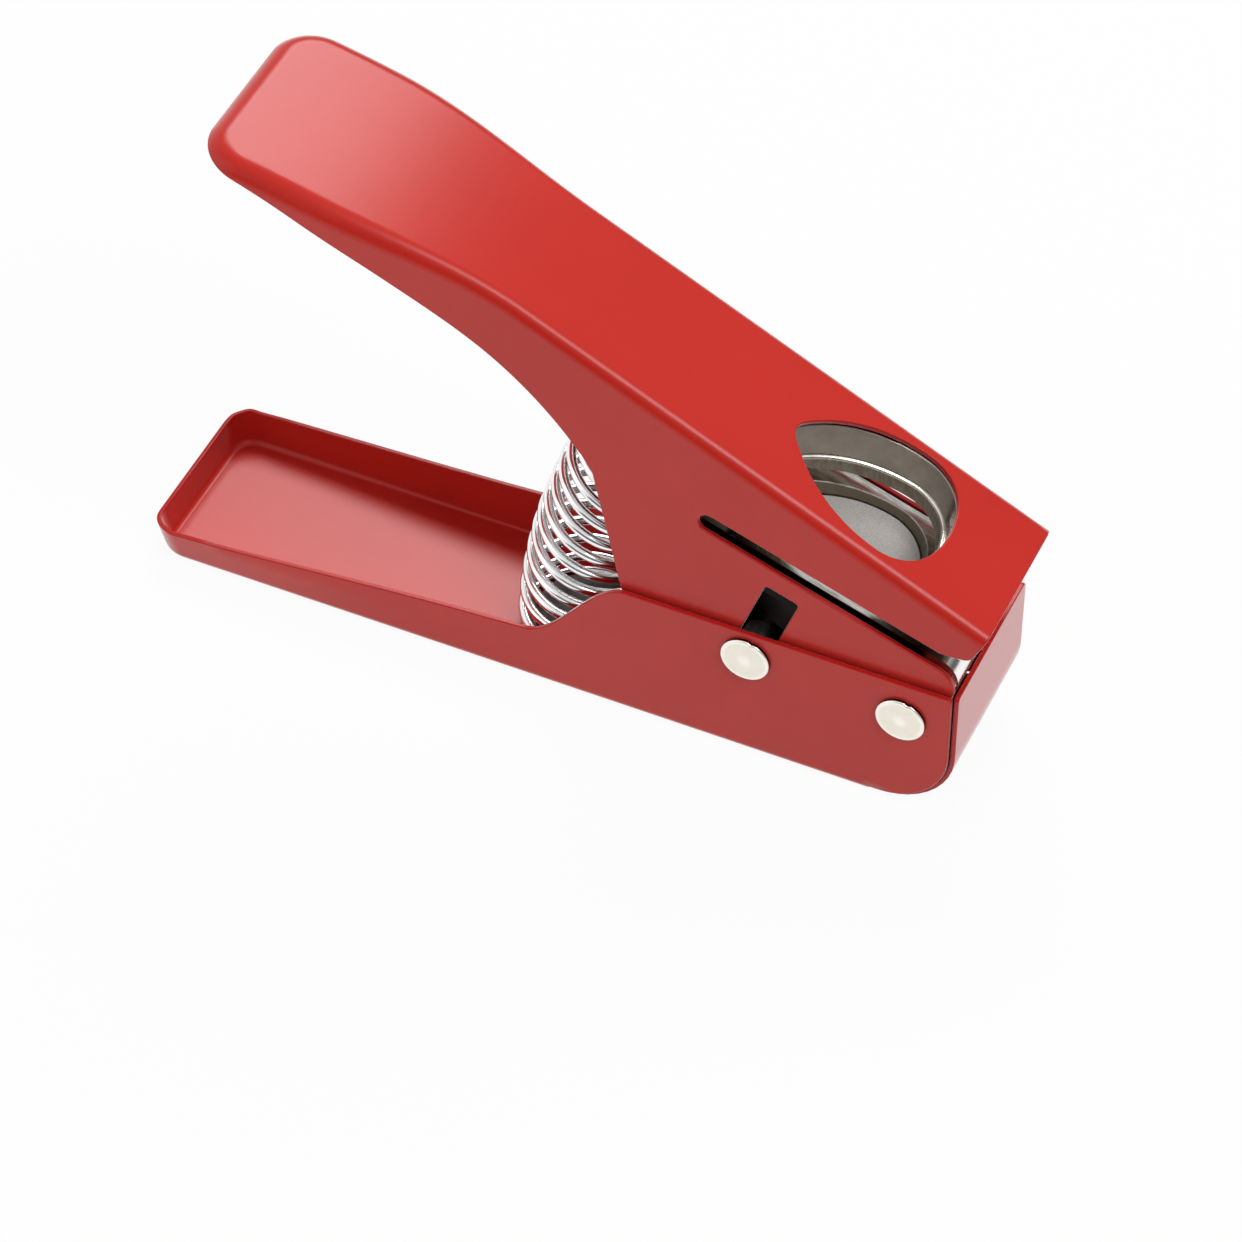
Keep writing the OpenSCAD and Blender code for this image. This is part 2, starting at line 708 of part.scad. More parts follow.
// Holes for the die screws or the dowels
module die_fix_holes(d, y) {
    for (side = [-1, 1])
        translate([fix_x, side * y, -big / 2]) cylinder(d = d, h = big, $fn = 32);
}

// Box of the die set between two stations and two heights
module die_box(x0, x1, half, z0, z1) {
    translate([x0, -half, z0]) cube([x1 - x0, 2 * half, z1 - z0]);
}

// Chromed collar round the pick's outline from the die up to the lever's top, on a flange
module die_holder() {
    hole = die_clear + die_ledge;
    flange_front = -pick_back + hole + holder_lead;
    color(chrome) in_die() difference() {
        union() {
            pick_prism(hole + holder_wall, die_top_z, pivot_depth + pick_len);
            die_box(set_rear_x, flange_front, holder_half, die_top_z, holder_flange_z);
        }
        pick_prism(hole, die_top_z - cut, pivot_depth + pick_len + cut);
        over_lever_top();
        die_fix_holes(die_screw_d + 2 * screw_clear, die_screw_y);
        die_fix_holes(dowel_d + 2 * screw_clear, dowel_y);
    }
}

// Hardened plate whose pick-shaped hole cuts
module die_plate() {
    bevel = 1.2;
    color(chrome) in_die() difference() {
        die_box(set_rear_x, set_front_x, die_half, die_z, die_top_z);
        pick_prism(die_clear, die_z - cut, die_top_z + cut);
        die_fix_holes(die_screw_d + 2 * screw_clear, die_screw_y);
        die_fix_holes(dowel_d + 2 * screw_clear, dowel_y);
        translate([set_front_x, 0, die_z]) rotate([0, 45, 0])
            cube([bevel * sqrt(2), big, bevel * sqrt(2)], center = true);
    }
}

// Spacer behind the strip, which also stops it
module strip_stop() {
    color(steel) in_die() difference() {
        die_box(set_rear_x, stop_x, stop_half, guide_top_z, die_z);
        die_fix_holes(die_screw_d + 2 * screw_clear, die_screw_y);
        die_fix_holes(dowel_d + 2 * screw_clear, dowel_y);
    }
}

// Block that guides the punch, hung on the pivot by two lugs, with a wing to each cheek
module guide_block() {
    color(chrome) in_die() difference() {
        union() {
            die_box(set_rear_x, nose_x - nose_r, guide_w / 2, guide_z, guide_top_z);
            die_box(set_rear_x, guide_front_x, guide_w / 2, guide_z, guide_top_z - nose_r);
            die_box(set_rear_x, guide_front_x, die_half, guide_z, guide_z + guide_wing_t);
            intersection() {
                translate([nose_x - nose_r, 0, guide_top_z - nose_r]) bar(2 * nose_r, -guide_w / 2, guide_w / 2);
                die_box(nose_x - nose_r, nose_x + cut, guide_w, guide_z, guide_top_z + cut);
            }
            for (side = [-1, 1])
                translate([0, side * (die_half - lug_t / 2), 0]) across(lug_t) union() {
                    circle(r = lug_r, $fn = 64);
                    translate([-lug_r, 0]) square([lug_r + guide_front_x, guide_z + cut]);
                }
        }
        pick_prism(die_clear, guide_z - cut, guide_top_z + cut);
        die_fix_holes(die_screw_d + 2 * screw_clear, die_screw_y);
        die_fix_holes(dowel_d + 2 * screw_clear, dowel_y);
        bar(bore_d, -big, big);
    }
}

// Block welded under the lever's top that the die screws pull the die set up to
module die_anchor() {
    anchor_front = -pick_back - pick_len - die_clear - die_ledge - holder_wall - anchor_gap;
    color(steel) in_die() difference() {
        die_box(set_rear_x, anchor_front, stop_half, holder_flange_z, pivot_depth + pick_len);
        over_lever_top();
        translate([0, 0, holder_flange_z + die_screw_grip - big / 2])
            die_fix_holes(die_screw_d + 2 * screw_clear, die_screw_y);
        translate([0, 0, holder_flange_z + die_screw_grip - big / 2])
            die_fix_holes(dowel_d + 2 * screw_clear, dowel_y);
    }
}

// Cap screw along z: head standing on the origin, shank down
module cap_screw(d, shank) {
    head_d = d * screw_head_k;
    socket_d = d * 0.85;
    difference() {
        union() {
            cylinder(d = head_d, h = d, $fn = 48);
            translate([0, 0, -shank]) cylinder(d = d, h = shank + d / 2, $fn = 32);
        }
        translate([0, 0, d / 2]) cylinder(d = socket_d, h = d, $fn = 6);
    }
}

// Two screws from below that hold guide block, spacer, die plate and holder on the anchor
module die_screws() {
    shank = holder_flange_z + die_screw_grip - guide_z;
    color(black_oxide) in_die()
        for (side = [-1, 1])
            translate([fix_x, side * die_screw_y, guide_z]) mirror([0, 0, 1]) cap_screw(die_screw_d, shank);
}

// Two dowels that line up the die over the guide
module die_dowels() {
    color(steel) in_die()
        for (side = [-1, 1])
            translate([fix_x, side * dowel_y, guide_z])
                cylinder(d = dowel_d, h = die_top_z + dowel_grip - guide_z, $fn = 32);
}

// Tapped holes for the punch screws, in the frame of the die set
module punch_screw_places() {
    for (side = [-1, 1])
        translate([pin_mid_x + side * punch_screw_x, 0, 0]) children();
}

// Sintered pick-shaped punch with a crowned face
module punch() {
    color(sinter) in_die() difference() {
        intersection() {
            pick_prism(0, punch_z, punch_top_z + cut);
            translate([crown_x, 0, punch_top_z - crown_r]) rotate([90, 0, 0])
                cylinder(r = crown_r, h = 2 * pick_w, center = true, $fn = 240);
        }
        punch_screw_places()
            translate([0, 0, punch_z - cut])
                cylinder(d = punch_hole_d, h = punch_screw_grip + tap_room + cut, $fn = 32);
    }
}

// Block under the punch that the rear rivet holds in a slotted hole
module punch_carrier() {
    head_d = punch_screw_d * screw_head_k + 4 * screw_clear;
    color(steel) in_die() difference() {
        die_box(pin_mid_x - carrier_l / 2, pin_mid_x + carrier_l / 2, carrier_w / 2, carrier_z, punch_z);
        for (side = [-1, 1])
            translate([pin_mid_x + side * pin_wander / 2, 0, pin_rest_z]) bar(pin_hole_d, -big, big);
        translate([pin_mid_x, 0, pin_rest_z]) cube([pin_wander, big, pin_hole_d], center = true);
        punch_screw_places() {
            translate([0, 0, carrier_z - cut]) cylinder(d = punch_hole_d, h = big, $fn = 32);
            translate([0, 0, carrier_z - cut]) cylinder(d = head_d, h = punch_screw_d + cut, $fn = 32);
        }
    }
}

// Two screws that hold the punch on its carrier, heads sunk from below
module punch_screws() {
    shank = carrier_h - punch_screw_d + punch_screw_grip;
    color(black_oxide) in_die() punch_screw_places()
        translate([0, 0, carrier_z + punch_screw_d]) mirror([0, 0, 1]) cap_screw(punch_screw_d, shank);
}

base_shell();
pivot_rivet();
punch_rivet();
pivot_sleeve();
pivot_washers();
carrier_spacers();
lower_spring_seat();
return_spring();
lever_shell();
upper_spring_seat();
die_holder();
die_plate();
strip_stop();
guide_block();
die_anchor();
die_screws();
die_dowels();
punch();
punch_carrier();
punch_screws();
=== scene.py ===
import math

import bpy
import numpy as np
from mathutils import Matrix, Vector
from mathutils.geometry import delaunay_2d_cdt


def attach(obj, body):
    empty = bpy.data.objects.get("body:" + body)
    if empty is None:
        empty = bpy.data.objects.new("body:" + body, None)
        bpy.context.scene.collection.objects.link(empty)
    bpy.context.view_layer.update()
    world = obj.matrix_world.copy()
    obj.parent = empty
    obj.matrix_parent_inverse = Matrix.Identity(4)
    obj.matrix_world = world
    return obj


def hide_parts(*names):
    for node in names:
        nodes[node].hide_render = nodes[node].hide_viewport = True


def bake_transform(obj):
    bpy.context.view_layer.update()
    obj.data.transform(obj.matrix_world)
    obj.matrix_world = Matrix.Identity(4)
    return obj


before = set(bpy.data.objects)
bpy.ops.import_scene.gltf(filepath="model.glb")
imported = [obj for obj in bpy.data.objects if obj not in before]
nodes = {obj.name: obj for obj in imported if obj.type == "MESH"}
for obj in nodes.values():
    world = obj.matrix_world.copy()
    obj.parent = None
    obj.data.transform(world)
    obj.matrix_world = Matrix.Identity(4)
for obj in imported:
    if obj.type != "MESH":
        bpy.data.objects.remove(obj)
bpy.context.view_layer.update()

# Base: one blank of 0.9 mm steel sheet, powder coated red. The tray, floor and side walls are drawn and
# folded up from it, and a flap at the front is curled up in front of the walls' edges.
MM = 0.001
base_sheet = 0.9
base_half = 16.35
base_front = 77.5
base_rear = -77.5
base_top = 29.0
floor_bend = 1.7
tray_flare = 1.1
tray_flare_l = 63.0
tray_corner = 5.5
tray_rim = 6.6
tray_rim_front = 12.2
step_top = base_front - 61.5
step_l = 19.0
flap_bend = 14.0
flap_start = base_front - flap_bend
flap_half = 15.4
flap_neck = 13.3
flap_end = flap_start + flap_bend * math.pi / 2 + base_top - flap_bend
wall_front_r = flap_bend - base_sheet - 0.15
pivot_xz = (67.7, 21.0)
pin_xz = (38.9, 23.2)
bore_r = 2.16
base_edge_r = 0.22
rear_lean_l = 15.0
flap_round = 1.0
neck_l = 4.0
neck_taper = 1.8
neck_round = 0.4
slit_back = 0.6
toe_round = 0.7
toe_chamfer = 0.3
gather_h = 0.34
pucker_h = 0.26
blank_step = 2.2


def unit(v):
    """Vectors of an array, each divided by its length."""
    return v / np.maximum(np.linalg.norm(v, axis=-1, keepdims=True), 1e-12)


def ease(t):
    """0 before 0, 1 after 1, and 3t^2 - 2t^3 between."""
    t = np.clip(t, 0, 1)
    return t * t * (3 - 2 * t)


def arc(cx, cy, r, a0, a1, n):
    """n points of an arc about (cx, cy): centre plus r times cosine and sine, in degrees."""
    a = np.radians(np.linspace(a0, a1, n))
    return np.stack([cx + r * np.cos(a), cy + r * np.sin(a)], axis=1)


def fill(path, step):
    """Points added on a polyline so that none are further than step apart, spread evenly by length."""
    gaps = np.linalg.norm(np.diff(path, axis=0), axis=1)
    parts = np.maximum(1, np.ceil(gaps / step)).astype(int)
    at = np.repeat(np.arange(len(parts)), parts)
    share = (np.arange(len(at)) - np.repeat(np.cumsum(parts) - parts, parts)) / np.repeat(parts, parts)
    inner = path[at] + (path[at + 1] - path[at]) * share[:, None]
    return np.concatenate([inner, path[-1:]])


def turned_way(loop, left):
    """The loop, reversed if need be so that its inside lies to the left (or right) of its travel."""
    ahead = np.roll(loop, -1, axis=0)
    area = np.sum(loop[:, 0] * ahead[:, 1] - loop[:, 1] * ahead[:, 0])
    return loop if (area > 0) == left else loop[::-1]


def both_sides(half):
    """A half outline from the middle line to the middle line, closed by its mirror image."""
    back = half[-2:0:-1] * np.array([1.0, -1.0])
    return np.concatenate([half, back])


def inside_and_clear(points, loops, clear):
    """Which points lie inside the loops by the even-odd rule, and further than clear from every edge."""
    a = np.concatenate(loops)
    b = np.concatenate([np.roll(q, -1, axis=0) for q in loops])
    px, py = points[:, None, 0], points[:, None, 1]
    crosses = (a[:, 1] > py) != (b[:, 1] > py)
    rise = np.where(np.abs(b[:, 1] - a[:, 1]) < 1e-12, 1e-12, b[:, 1] - a[:, 1])
    odd = (crosses & (px < a[:, 0] + (py - a[:, 1]) / rise * (b[:, 0] - a[:, 0]))).sum(axis=1) % 2 == 1
    d = b - a
    t = ((px - a[:, 0]) * d[:, 0] + (py - a[:, 1]) * d[:, 1]) / np.maximum((d * d).sum(axis=1), 1e-12)
    t = np.clip(t, 0, 1)
    far = np.hypot(px - a[:, 0] - t * d[:, 0], py - a[:, 1] - t * d[:, 1]).min(axis=1)
    return odd & (far > clear)


def mesh_piece(name, points, faces, normals=None):
    """Object with its place in its mesh, from points in mm. Faces that look against the normals turn."""
    faces = [np.asarray(f, dtype=int) for f in faces]
    if normals is not None:
        for i, f in enumerate(faces):
            looks = np.cross(points[f[:, 1]] - points[f[:, 0]], points[f[:, 2]] - points[f[:, 0]])
            against = (looks * normals[f].mean(axis=1)).sum(axis=1) < 0
            faces[i] = np.where(against[:, None], f[:, ::-1], f)
    mesh = bpy.data.meshes.new(name)
    mesh.from_pydata((points * MM).tolist(), [], [q for f in faces for q in f.tolist()])
    mesh.polygons.foreach_set("use_smooth", np.ones(len(mesh.polygons), dtype=bool))
    mesh.update()
    if normals is not None:
        mesh.normals_split_custom_set_from_vertices(normals.tolist())
    piece = bpy.data.objects.new(name, mesh)
    bpy.context.scene.collection.objects.link(piece)
    return piece


def stamped(name, loops, pins, place, out, sheet, edge_r):
    """Sheet cut along loops from a flat blank and folded by place(points), which gives the outer face.

    The inner face is the outer one moved in by the sheet along its normal. The cut edge is a strip over
    the loop and an angle: edge_r times 1 - sine in from the loop and 1 - cosine down from each face.
    The attribute cut_edge is 1 there and 0 on both faces.
    """
    probe = 0.02
    pin_clear = 0.45
    sharpest = 0.3

    def folded(p):
        across = place(p + [probe, 0]) - place(p - [probe, 0])
        up = place(p + [0, probe]) - place(p - [0, probe])
        return place(p), unit(np.cross(across, up)) * out

    loops = [turned_way(q, i == 0) for i, q in enumerate(loops)]
    quarter = np.radians(np.linspace(0, 90, 5))
    turn = np.concatenate([quarter, quarter + math.pi / 2])
    drawn_in = edge_r * (1 - np.sin(turn))
    down = np.concatenate([edge_r * (1 - np.cos(quarter)), sheet - edge_r * (1 - np.sin(quarter))])
    rims = []
    for q in loops:
        edge = unit(np.roll(q, -1, axis=0) - q)
        left = np.stack([-edge[:, 1], edge[:, 0]], axis=1)
        before = np.roll(left, 1, axis=0)
        mitre = (left + before) / np.maximum(1 + (left * before).sum(axis=1, keepdims=True), sharpest)
        rims.append((q, mitre))
    bounds = [q + edge_r * m for q, m in rims]
    pins = pins[inside_and_clear(pins, bounds, pin_clear)]
    flat = np.concatenate(bounds + [pins])
    starts = np.cumsum([0] + [len(q) for q in bounds])
    chains = [np.stack([np.arange(n), (np.arange(n) + 1) % n], axis=1) + s
              for n, s in zip([len(q) for q in bounds], starts)]
    cdt = delaunay_2d_cdt([tuple(p) for p in flat], np.concatenate(chains).tolist(), [], 0, 1e-7)
    laid = np.array([tuple(v) for v in cdt[0]])
    tris = np.array(cdt[2])
    tris = tris[inside_and_clear(laid[tris].mean(axis=1), bounds, 0)]
    count = len(laid)
    top, normal = folded(laid)
    points, normals = [top, top - sheet * normal], [normal, -normal]
    faces = [tris, tris[:, ::-1] + count]
    strips = []
    made = 2 * count
    for (q, mitre), s in zip(rims, starts):
        n = len(q)
        rows = [np.arange(n) + s]
        for k in range(1, len(turn) - 1):
            p = q + drawn_in[k] * mitre
            at, face = folded(p)
            ahead = unit(place(p - probe * mitre) - at)
            points.append(at - down[k] * face)
            normals.append(np.cos(turn[k]) * face + np.sin(turn[k]) * ahead)
            rows.append(np.arange(n) + made)
            made += n
        rows.append(np.arange(n) + s + count)
        for a, b in zip(rows[:-1], rows[1:]):
            strips.append(np.stack([a, np.roll(a, -1), np.roll(b, -1), b], axis=1))
    piece = mesh_piece(name, np.concatenate(points), faces + [np.concatenate(strips)],
                       unit(np.concatenate(normals)))
    cut = piece.data.attributes.new("cut_edge", "FLOAT", "POINT")
    cut.data.foreach_set("value", (np.arange(made) >= 2 * count).astype(float))
    return piece


def tray_place(p):
    """Folded base over its blank: the flat floor, then outwards from its crease a bend of radius
    floor_bend and a wall that leans out by tray_flare. Ahead of flap_start the floor curls up as the flap.
    """
    x, y = p[:, 0], np.abs(p[:, 1])
    side = np.where(p[:, 1] < 0, -1.0, 1.0)
    crease = base_half - floor_bend
    rear = base_rear + tray_flare + floor_bend
    corner_r = tray_corner - floor_bend
    cx, cy = rear + corner_r, crease - corner_r
    dx, dy = np.minimum(x - cx, 0), np.maximum(y - cy, 0)
    reach = np.hypot(dx, dy)
    s = np.where(x < cx, reach - corner_r, y - crease)
    way = np.where((x < cx)[:, None], np.stack([dx, dy], 1) / np.maximum(reach, 1e-9)[:, None], [0.0, 1.0])
    turn = np.clip(s / floor_bend, 0, math.pi / 2)
    height = floor_bend * (1 - np.cos(turn)) + np.maximum(s - floor_bend * math.pi / 2, 0)
    pull = np.where(s > 0, floor_bend * np.sin(turn) - s, 0)
    lean = np.minimum(height, tray_rim + base_sheet) / tray_rim * tray_flare
    fade = 1 - ease((x - base_rear) / tray_flare_l)
    out_x = x + pull * way[:, 0] - lean * (1 - ease((x - cx) / rear_lean_l))
    out_y = y + pull * way[:, 1] + lean * fade * np.clip(y / cy, 0, 1)
    curl = (x - flap_start) / flap_bend
    in_flap = (curl > 0) & (y < (flap_half + base_half) / 2)
    c = np.clip(curl, 0, math.pi / 2)
    rise = np.maximum(x - flap_start - flap_bend * math.pi / 2, 0)
    fx = np.where(in_flap, flap_start + flap_bend * np.sin(c), out_x)
    fz = np.where(in_flap, flap_bend * (1 - np.cos(c)) + rise, height)
    return np.stack([fx, side * np.where(in_flap, y, out_y), fz], axis=1)


def wall_reach(z):
    """Distance out from the crease, in the blank, of a wall point at height z."""
    turn = np.arccos(np.clip(1 - z / floor_bend, -1, 1))
    return np.where(z < floor_bend, floor_bend * turn, z - floor_bend + floor_bend * math.pi / 2)


def rim_height(x):
    """Height of the tray's rim: a slope, then a smooth step up to the walls' full height."""
    low_x = step_top - step_l
    low = tray_rim + (tray_rim_front - tray_rim) * (np.minimum(x, step_top) - base_rear) / (low_x - base_rear)
    return low + (base_top - low) * ease((x - low_x) / step_l)


crease = base_half - floor_bend
tray_cx = base_rear + tray_flare + tray_corner
tray_cy = base_half - tray_corner
wall_front = flap_start + wall_front_r
beta = np.linspace(0, 90, 16)
toe_x = flap_start + wall_front_r * np.sin(np.radians(beta))
toe_z = flap_bend - wall_front_r * np.cos(np.radians(beta))
step_foot = step_top - step_l
rim_x = np.concatenate([np.linspace(step_top, step_foot, 26), np.linspace(step_foot, tray_cx, 24)[1:]])
# The rim stands a little proud and uneven where the drawn corners have gathered the sheet.
corner_a = np.radians(np.linspace(0, 90, 31)[1:])
gathered = gather_h * np.sin(2 * corner_a) ** 2 + pucker_h * np.sin(4 * corner_a) ** 2 * np.cos(corner_a)
corner_z = rim_height(tray_cx - tray_corner * np.sin(corner_a)) + gathered
corner_s = tray_corner - floor_bend + wall_reach(corner_z)
corner_rim = np.stack([tray_cx - corner_s * np.sin(corner_a), tray_cy + corner_s * np.cos(corner_a)], axis=1)
rear_x = corner_rim[-1, 0]
toe_foot = crease + wall_reach(toe_z[0])
wall_edge = crease + wall_reach(np.array(base_top))
base_outline = np.concatenate([
    [[flap_end, 0.0]],
    arc(flap_end - flap_round, flap_half - flap_round, flap_round, 0, 90, 6),
    [[flap_start + neck_l, flap_half], [flap_start + neck_taper, flap_neck]],
    [[flap_start - slit_back, flap_neck]],
    arc(flap_start - slit_back, flap_neck + neck_round, neck_round, 270, 180, 4)[1:],
    [[flap_start - slit_back - neck_round, toe_foot - toe_chamfer], [flap_start - toe_round, toe_foot]],
    np.stack([toe_x, crease + wall_reach(toe_z)], axis=1),
    arc(wall_front - toe_round, wall_edge - toe_round, toe_round, 0, 90, 6),
    np.stack([rim_x, crease + wall_reach(rim_height(rim_x))], axis=1),
    corner_rim,
    [[rear_x, 0.0]],
])
base_outline = both_sides(fill(base_outline, blank_step))


def bore(x, z, side, n=40):
    """Round hole for a rivet in a side wall, in the blank."""
    ring = arc(x, z, bore_r, 0, 360, n + 1)[:-1]
    return np.stack([ring[:, 0], side * (crease + wall_reach(ring[:, 1]))], axis=1)


def paired(x, y):
    """Points of every pair that two arrays make when they are spread over each other."""
    return np.stack(np.broadcast_arrays(x, y), axis=-1).reshape(-1, 2)


def mirrored_pins(half):
    """Points and their mirror images over the middle line, each once."""
    return np.unique(np.round(np.concatenate([half, half * [1, -1]]), 5), axis=0)


# Pins are points inside the blank, close together across each bend and far apart where it stays flat.
bend_s = np.linspace(0, floor_bend * math.pi / 2, 9)
wall_s = np.concatenate([bend_s, bend_s[-1] + np.arange(1.2, 28, 2.4)])
turn_a = np.radians(np.linspace(0, 90, 13))[:, None]
turn_r = tray_corner - floor_bend + wall_s[:15]
flap_pins = paired(np.arange(flap_start - 1.5, flap_end, 1.1)[:, None], np.linspace(0, flap_half, 6))
in_neck = flap_pins[:, 0] < flap_start + neck_l
base_pins = mirrored_pins(np.concatenate([
    paired(np.arange(tray_cx, wall_front, blank_step)[:, None], crease + wall_s),
    paired(tray_cx - turn_r * np.sin(turn_a), tray_cy + turn_r * np.cos(turn_a)),
    paired(tray_cx - turn_r, np.linspace(0, tray_cy, 7)[:-1, None]),
    flap_pins[flap_pins[:, 1] < np.where(in_neck, flap_neck, flap_half)],
    paired(np.arange(tray_cx, flap_start - 2, 6.0)[:, None], np.linspace(0, crease, 5)[:-1]),
]))
base_holes = [bore(x, z, side) for x, z in (pivot_xz, pin_xz) for side in (-1, 1)]
base = stamped("base_sheet", [base_outline] + base_holes, base_pins, tray_place, -1, base_sheet, base_edge_r)


def finish(name, colour, metallic, roughness):
    """Material whose shader has these plain values, with its node tree and the piece's own coordinates."""
    made = bpy.data.materials.new(name)
    made.use_nodes = True
    tree = made.node_tree
    shader = tree.nodes["Principled BSDF"]
    shader.inputs["Base Color"].default_value = (*colour, 1)
    shader.inputs["Metallic"].default_value = metallic
    shader.inputs["Roughness"].default_value = roughness
    spot = tree.nodes.new("ShaderNodeTexCoord").outputs["Object"]
    return made, tree, shader, spot


def noise(tree, spot, scale, detail=2.0, rough=0.5, stretch=None):
    """Noise over the piece's own coordinates, scale cells a metre, drawn out along the axes by stretch."""
    if stretch:
        drawn = tree.nodes.new("ShaderNodeMapping")
        drawn.inputs["Scale"].default_value = stretch
        tree.links.new(spot, drawn.inputs["Vector"])
        spot = drawn.outputs["Vector"]
    made = tree.nodes.new("ShaderNodeTexNoise")
    made.inputs["Scale"].default_value = scale
    made.inputs["Detail"].default_value = detail
    made.inputs["Roughness"].default_value = rough
    tree.links.new(spot, made.inputs["Vector"])
    return made.outputs["Fac"]


def share_over(tree, value, start, end, first=0.0, last=1.0):
    """Share that goes from first to last while the value goes from start to end."""
    made = tree.nodes.new("ShaderNodeMapRange")
    made.inputs["From Min"].default_value = start
    made.inputs["From Max"].default_value = end
    made.inputs["To Min"].default_value = first
    made.inputs["To Max"].default_value = last
    tree.links.new(value, made.inputs["Value"])
    return made.outputs["Result"]


def spread(tree, value, low, high, socket):
    """Noise carried to the range low to high, on a shader's socket."""
    tree.links.new(share_over(tree, value, 0.3, 0.7, low, high), socket)


def tint(tree, value, dark, light, socket, start=0.3, end=0.7):
    """Colour between dark and light by the value, on a shader's socket."""
    made = tree.nodes.new("ShaderNodeValToRGB")
    made.color_ramp.elements[0].position = start
    made.color_ramp.elements[0].color = (*dark, 1)
    made.color_ramp.elements[1].position = end
    made.color_ramp.elements[1].color = (*light, 1)
    tree.links.new(value, made.inputs["Fac"])
    tree.links.new(made.outputs["Color"], socket)


def relief(tree, shader, value, strength, depth):
    """Small bumps of that depth, in metres, on the shader's normal."""
    made = tree.nodes.new("ShaderNodeBump")
    made.inputs["Strength"].default_value = strength
    made.inputs["Distance"].default_value = depth
    tree.links.new(value, made.inputs["Height"])
    tree.links.new(made.outputs["Normal"], shader.inputs["Normal"])


def carried(tree, name):
    """Value that the mesh carries at its points under that name."""
    made = tree.nodes.new("ShaderNodeAttribute")
    made.attribute_name = name
    return made.outputs["Fac"]


def laid_over(tree, share, colour, socket):
    """Colour laid over another by a share from 0 to 1, on a shader's socket. Gives the other's socket."""
    made = tree.nodes.new("ShaderNodeMix")
    made.data_type = "RGBA"
    made.inputs[7].default_value = (*colour, 1)
    tree.links.new(share, made.inputs[0])
    tree.links.new(made.outputs[2], socket)
    return made.inputs[6]


# Powder coat: a satin red film with a slight orange peel, a little uneven in tone and gloss. It is thin and
# darker on the cut edges, partly for the thinner coat and partly as painted shade.
red_coat, tree, shader, spot = finish("red_powder_coat", (0.60, 0.019, 0.010), 0, 0.32)
# Cut edges: a darker red, partly thin coat, partly painted shade.
face_red = laid_over(tree, carried(tree, "cut_edge"), (0.50, 0.008, 0.005), shader.inputs["Base Color"])
tint(tree, noise(tree, spot, 38, 3), (0.575, 0.017, 0.009), (0.62, 0.021, 0.011), face_red)
spread(tree, noise(tree, spot, 1300, 1), 0.30, 0.34, shader.inputs["Roughness"])
relief(tree, shader, noise(tree, spot, 750, 2), 0.05, 0.00006)
shader.inputs["IOR"].default_value = 1.26
shader.inputs["Coat Weight"].default_value = 1
shader.inputs["Coat Roughness"].default_value = 0.28
shader.inputs["Coat IOR"].default_value = 1.26
shader.inputs["Sheen Weight"].default_value = 1
shader.inputs["Sheen Roughness"].default_value = 0.3
base.data.materials.append(red_coat)
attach(base, "base")
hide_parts("base_shell")

# Lever: handle, top and cheeks drawn from one blank of 1 mm sheet, in the same red coat. The blank has the
# pick-shaped window, a strip slot open to the front in each cheek, and a window round the rear rivet.
lever_sheet = 1.0
lever_half = 15.0
lever_l = 154.6
lever_edge = 2.3
lever_tilt = math.radians(25.85)
pivot_u = 2.35
pivot_depth = 27.0
tail_half = 18.95
tail_edge = 3.4
tail_corner = 8.0
tail_turn = lever_l - tail_corner
handle_u = 95.0
handle_flare = 39.0
handle_bend = 205.0
throat_u = 95.5
throat_depth = 13.1
throat_r = 60.0
handle_taper = math.tan(math.radians(7.5))
tail_bend_u = 116.0
tail_bend_r = 135.0
cheek_u = 69.6
cheek_heel = (51.0, 46.3)
cheek_toe = (20.0, 44.0)
boss_r = 6.5
slot_tilt = math.radians(6.6)
slot_cos, slot_sin = math.cos(slot_tilt), math.sin(slot_tilt)
slot_h = 16.0
slot_r = 1.9
slot_l = 46.6
mouth_flare = math.tan(math.radians(24))
mouth_r = 2.2
lip_x = 5.5
lip_r = 4.5
pick_mid = -18.5
tail_cy = tail_half - tail_corner
lever_edge_r = 0.25
lever_step = 2.0


def handle_share(u):
    """How far the lever has gone from its straight part (0) to its tail (1), at u from its front."""
    return ease((u - handle_u) / handle_flare)


def half_width(u):
    """Half the lever's width at u."""
    return lever_half + (tail_half - lever_half) * handle_share(u)


def edge_round(u):
    """Outside radius of the bend between top and side at u."""
    return lever_edge + (tail_edge - lever_edge) * handle_share(u)


def arc_drop(x, r):
    """How far a circle of radius r has dropped from its tangent at x, and nothing before 0."""
    x = np.clip(x, 0, 0.98 * r)
    return r - np.sqrt(r * r - x * x)


def droop(u):
    """How far the handle's top has bent down at u."""
    return arc_drop(u - handle_u, handle_bend)


def low_edge(u):
    """Depth of the side's lower edge: throat curve, straight taper, then a bend down to the tail."""
    return (throat_depth - (u - throat_u) * handle_taper + arc_drop(throat_u - u, throat_r)
            + arc_drop(u - tail_bend_u, tail_bend_r))


def from_lever(u, y, depth):
    """Points in the part's frame from distance behind the lever's front, side and depth under its top."""
    x, z = pivot_u - u, pivot_depth - depth
    c, s = math.cos(lever_tilt), math.sin(lever_tilt)
    return np.stack([pivot_xz[0] + x * c + z * s, y, pivot_xz[1] - x * s + z * c], axis=1)


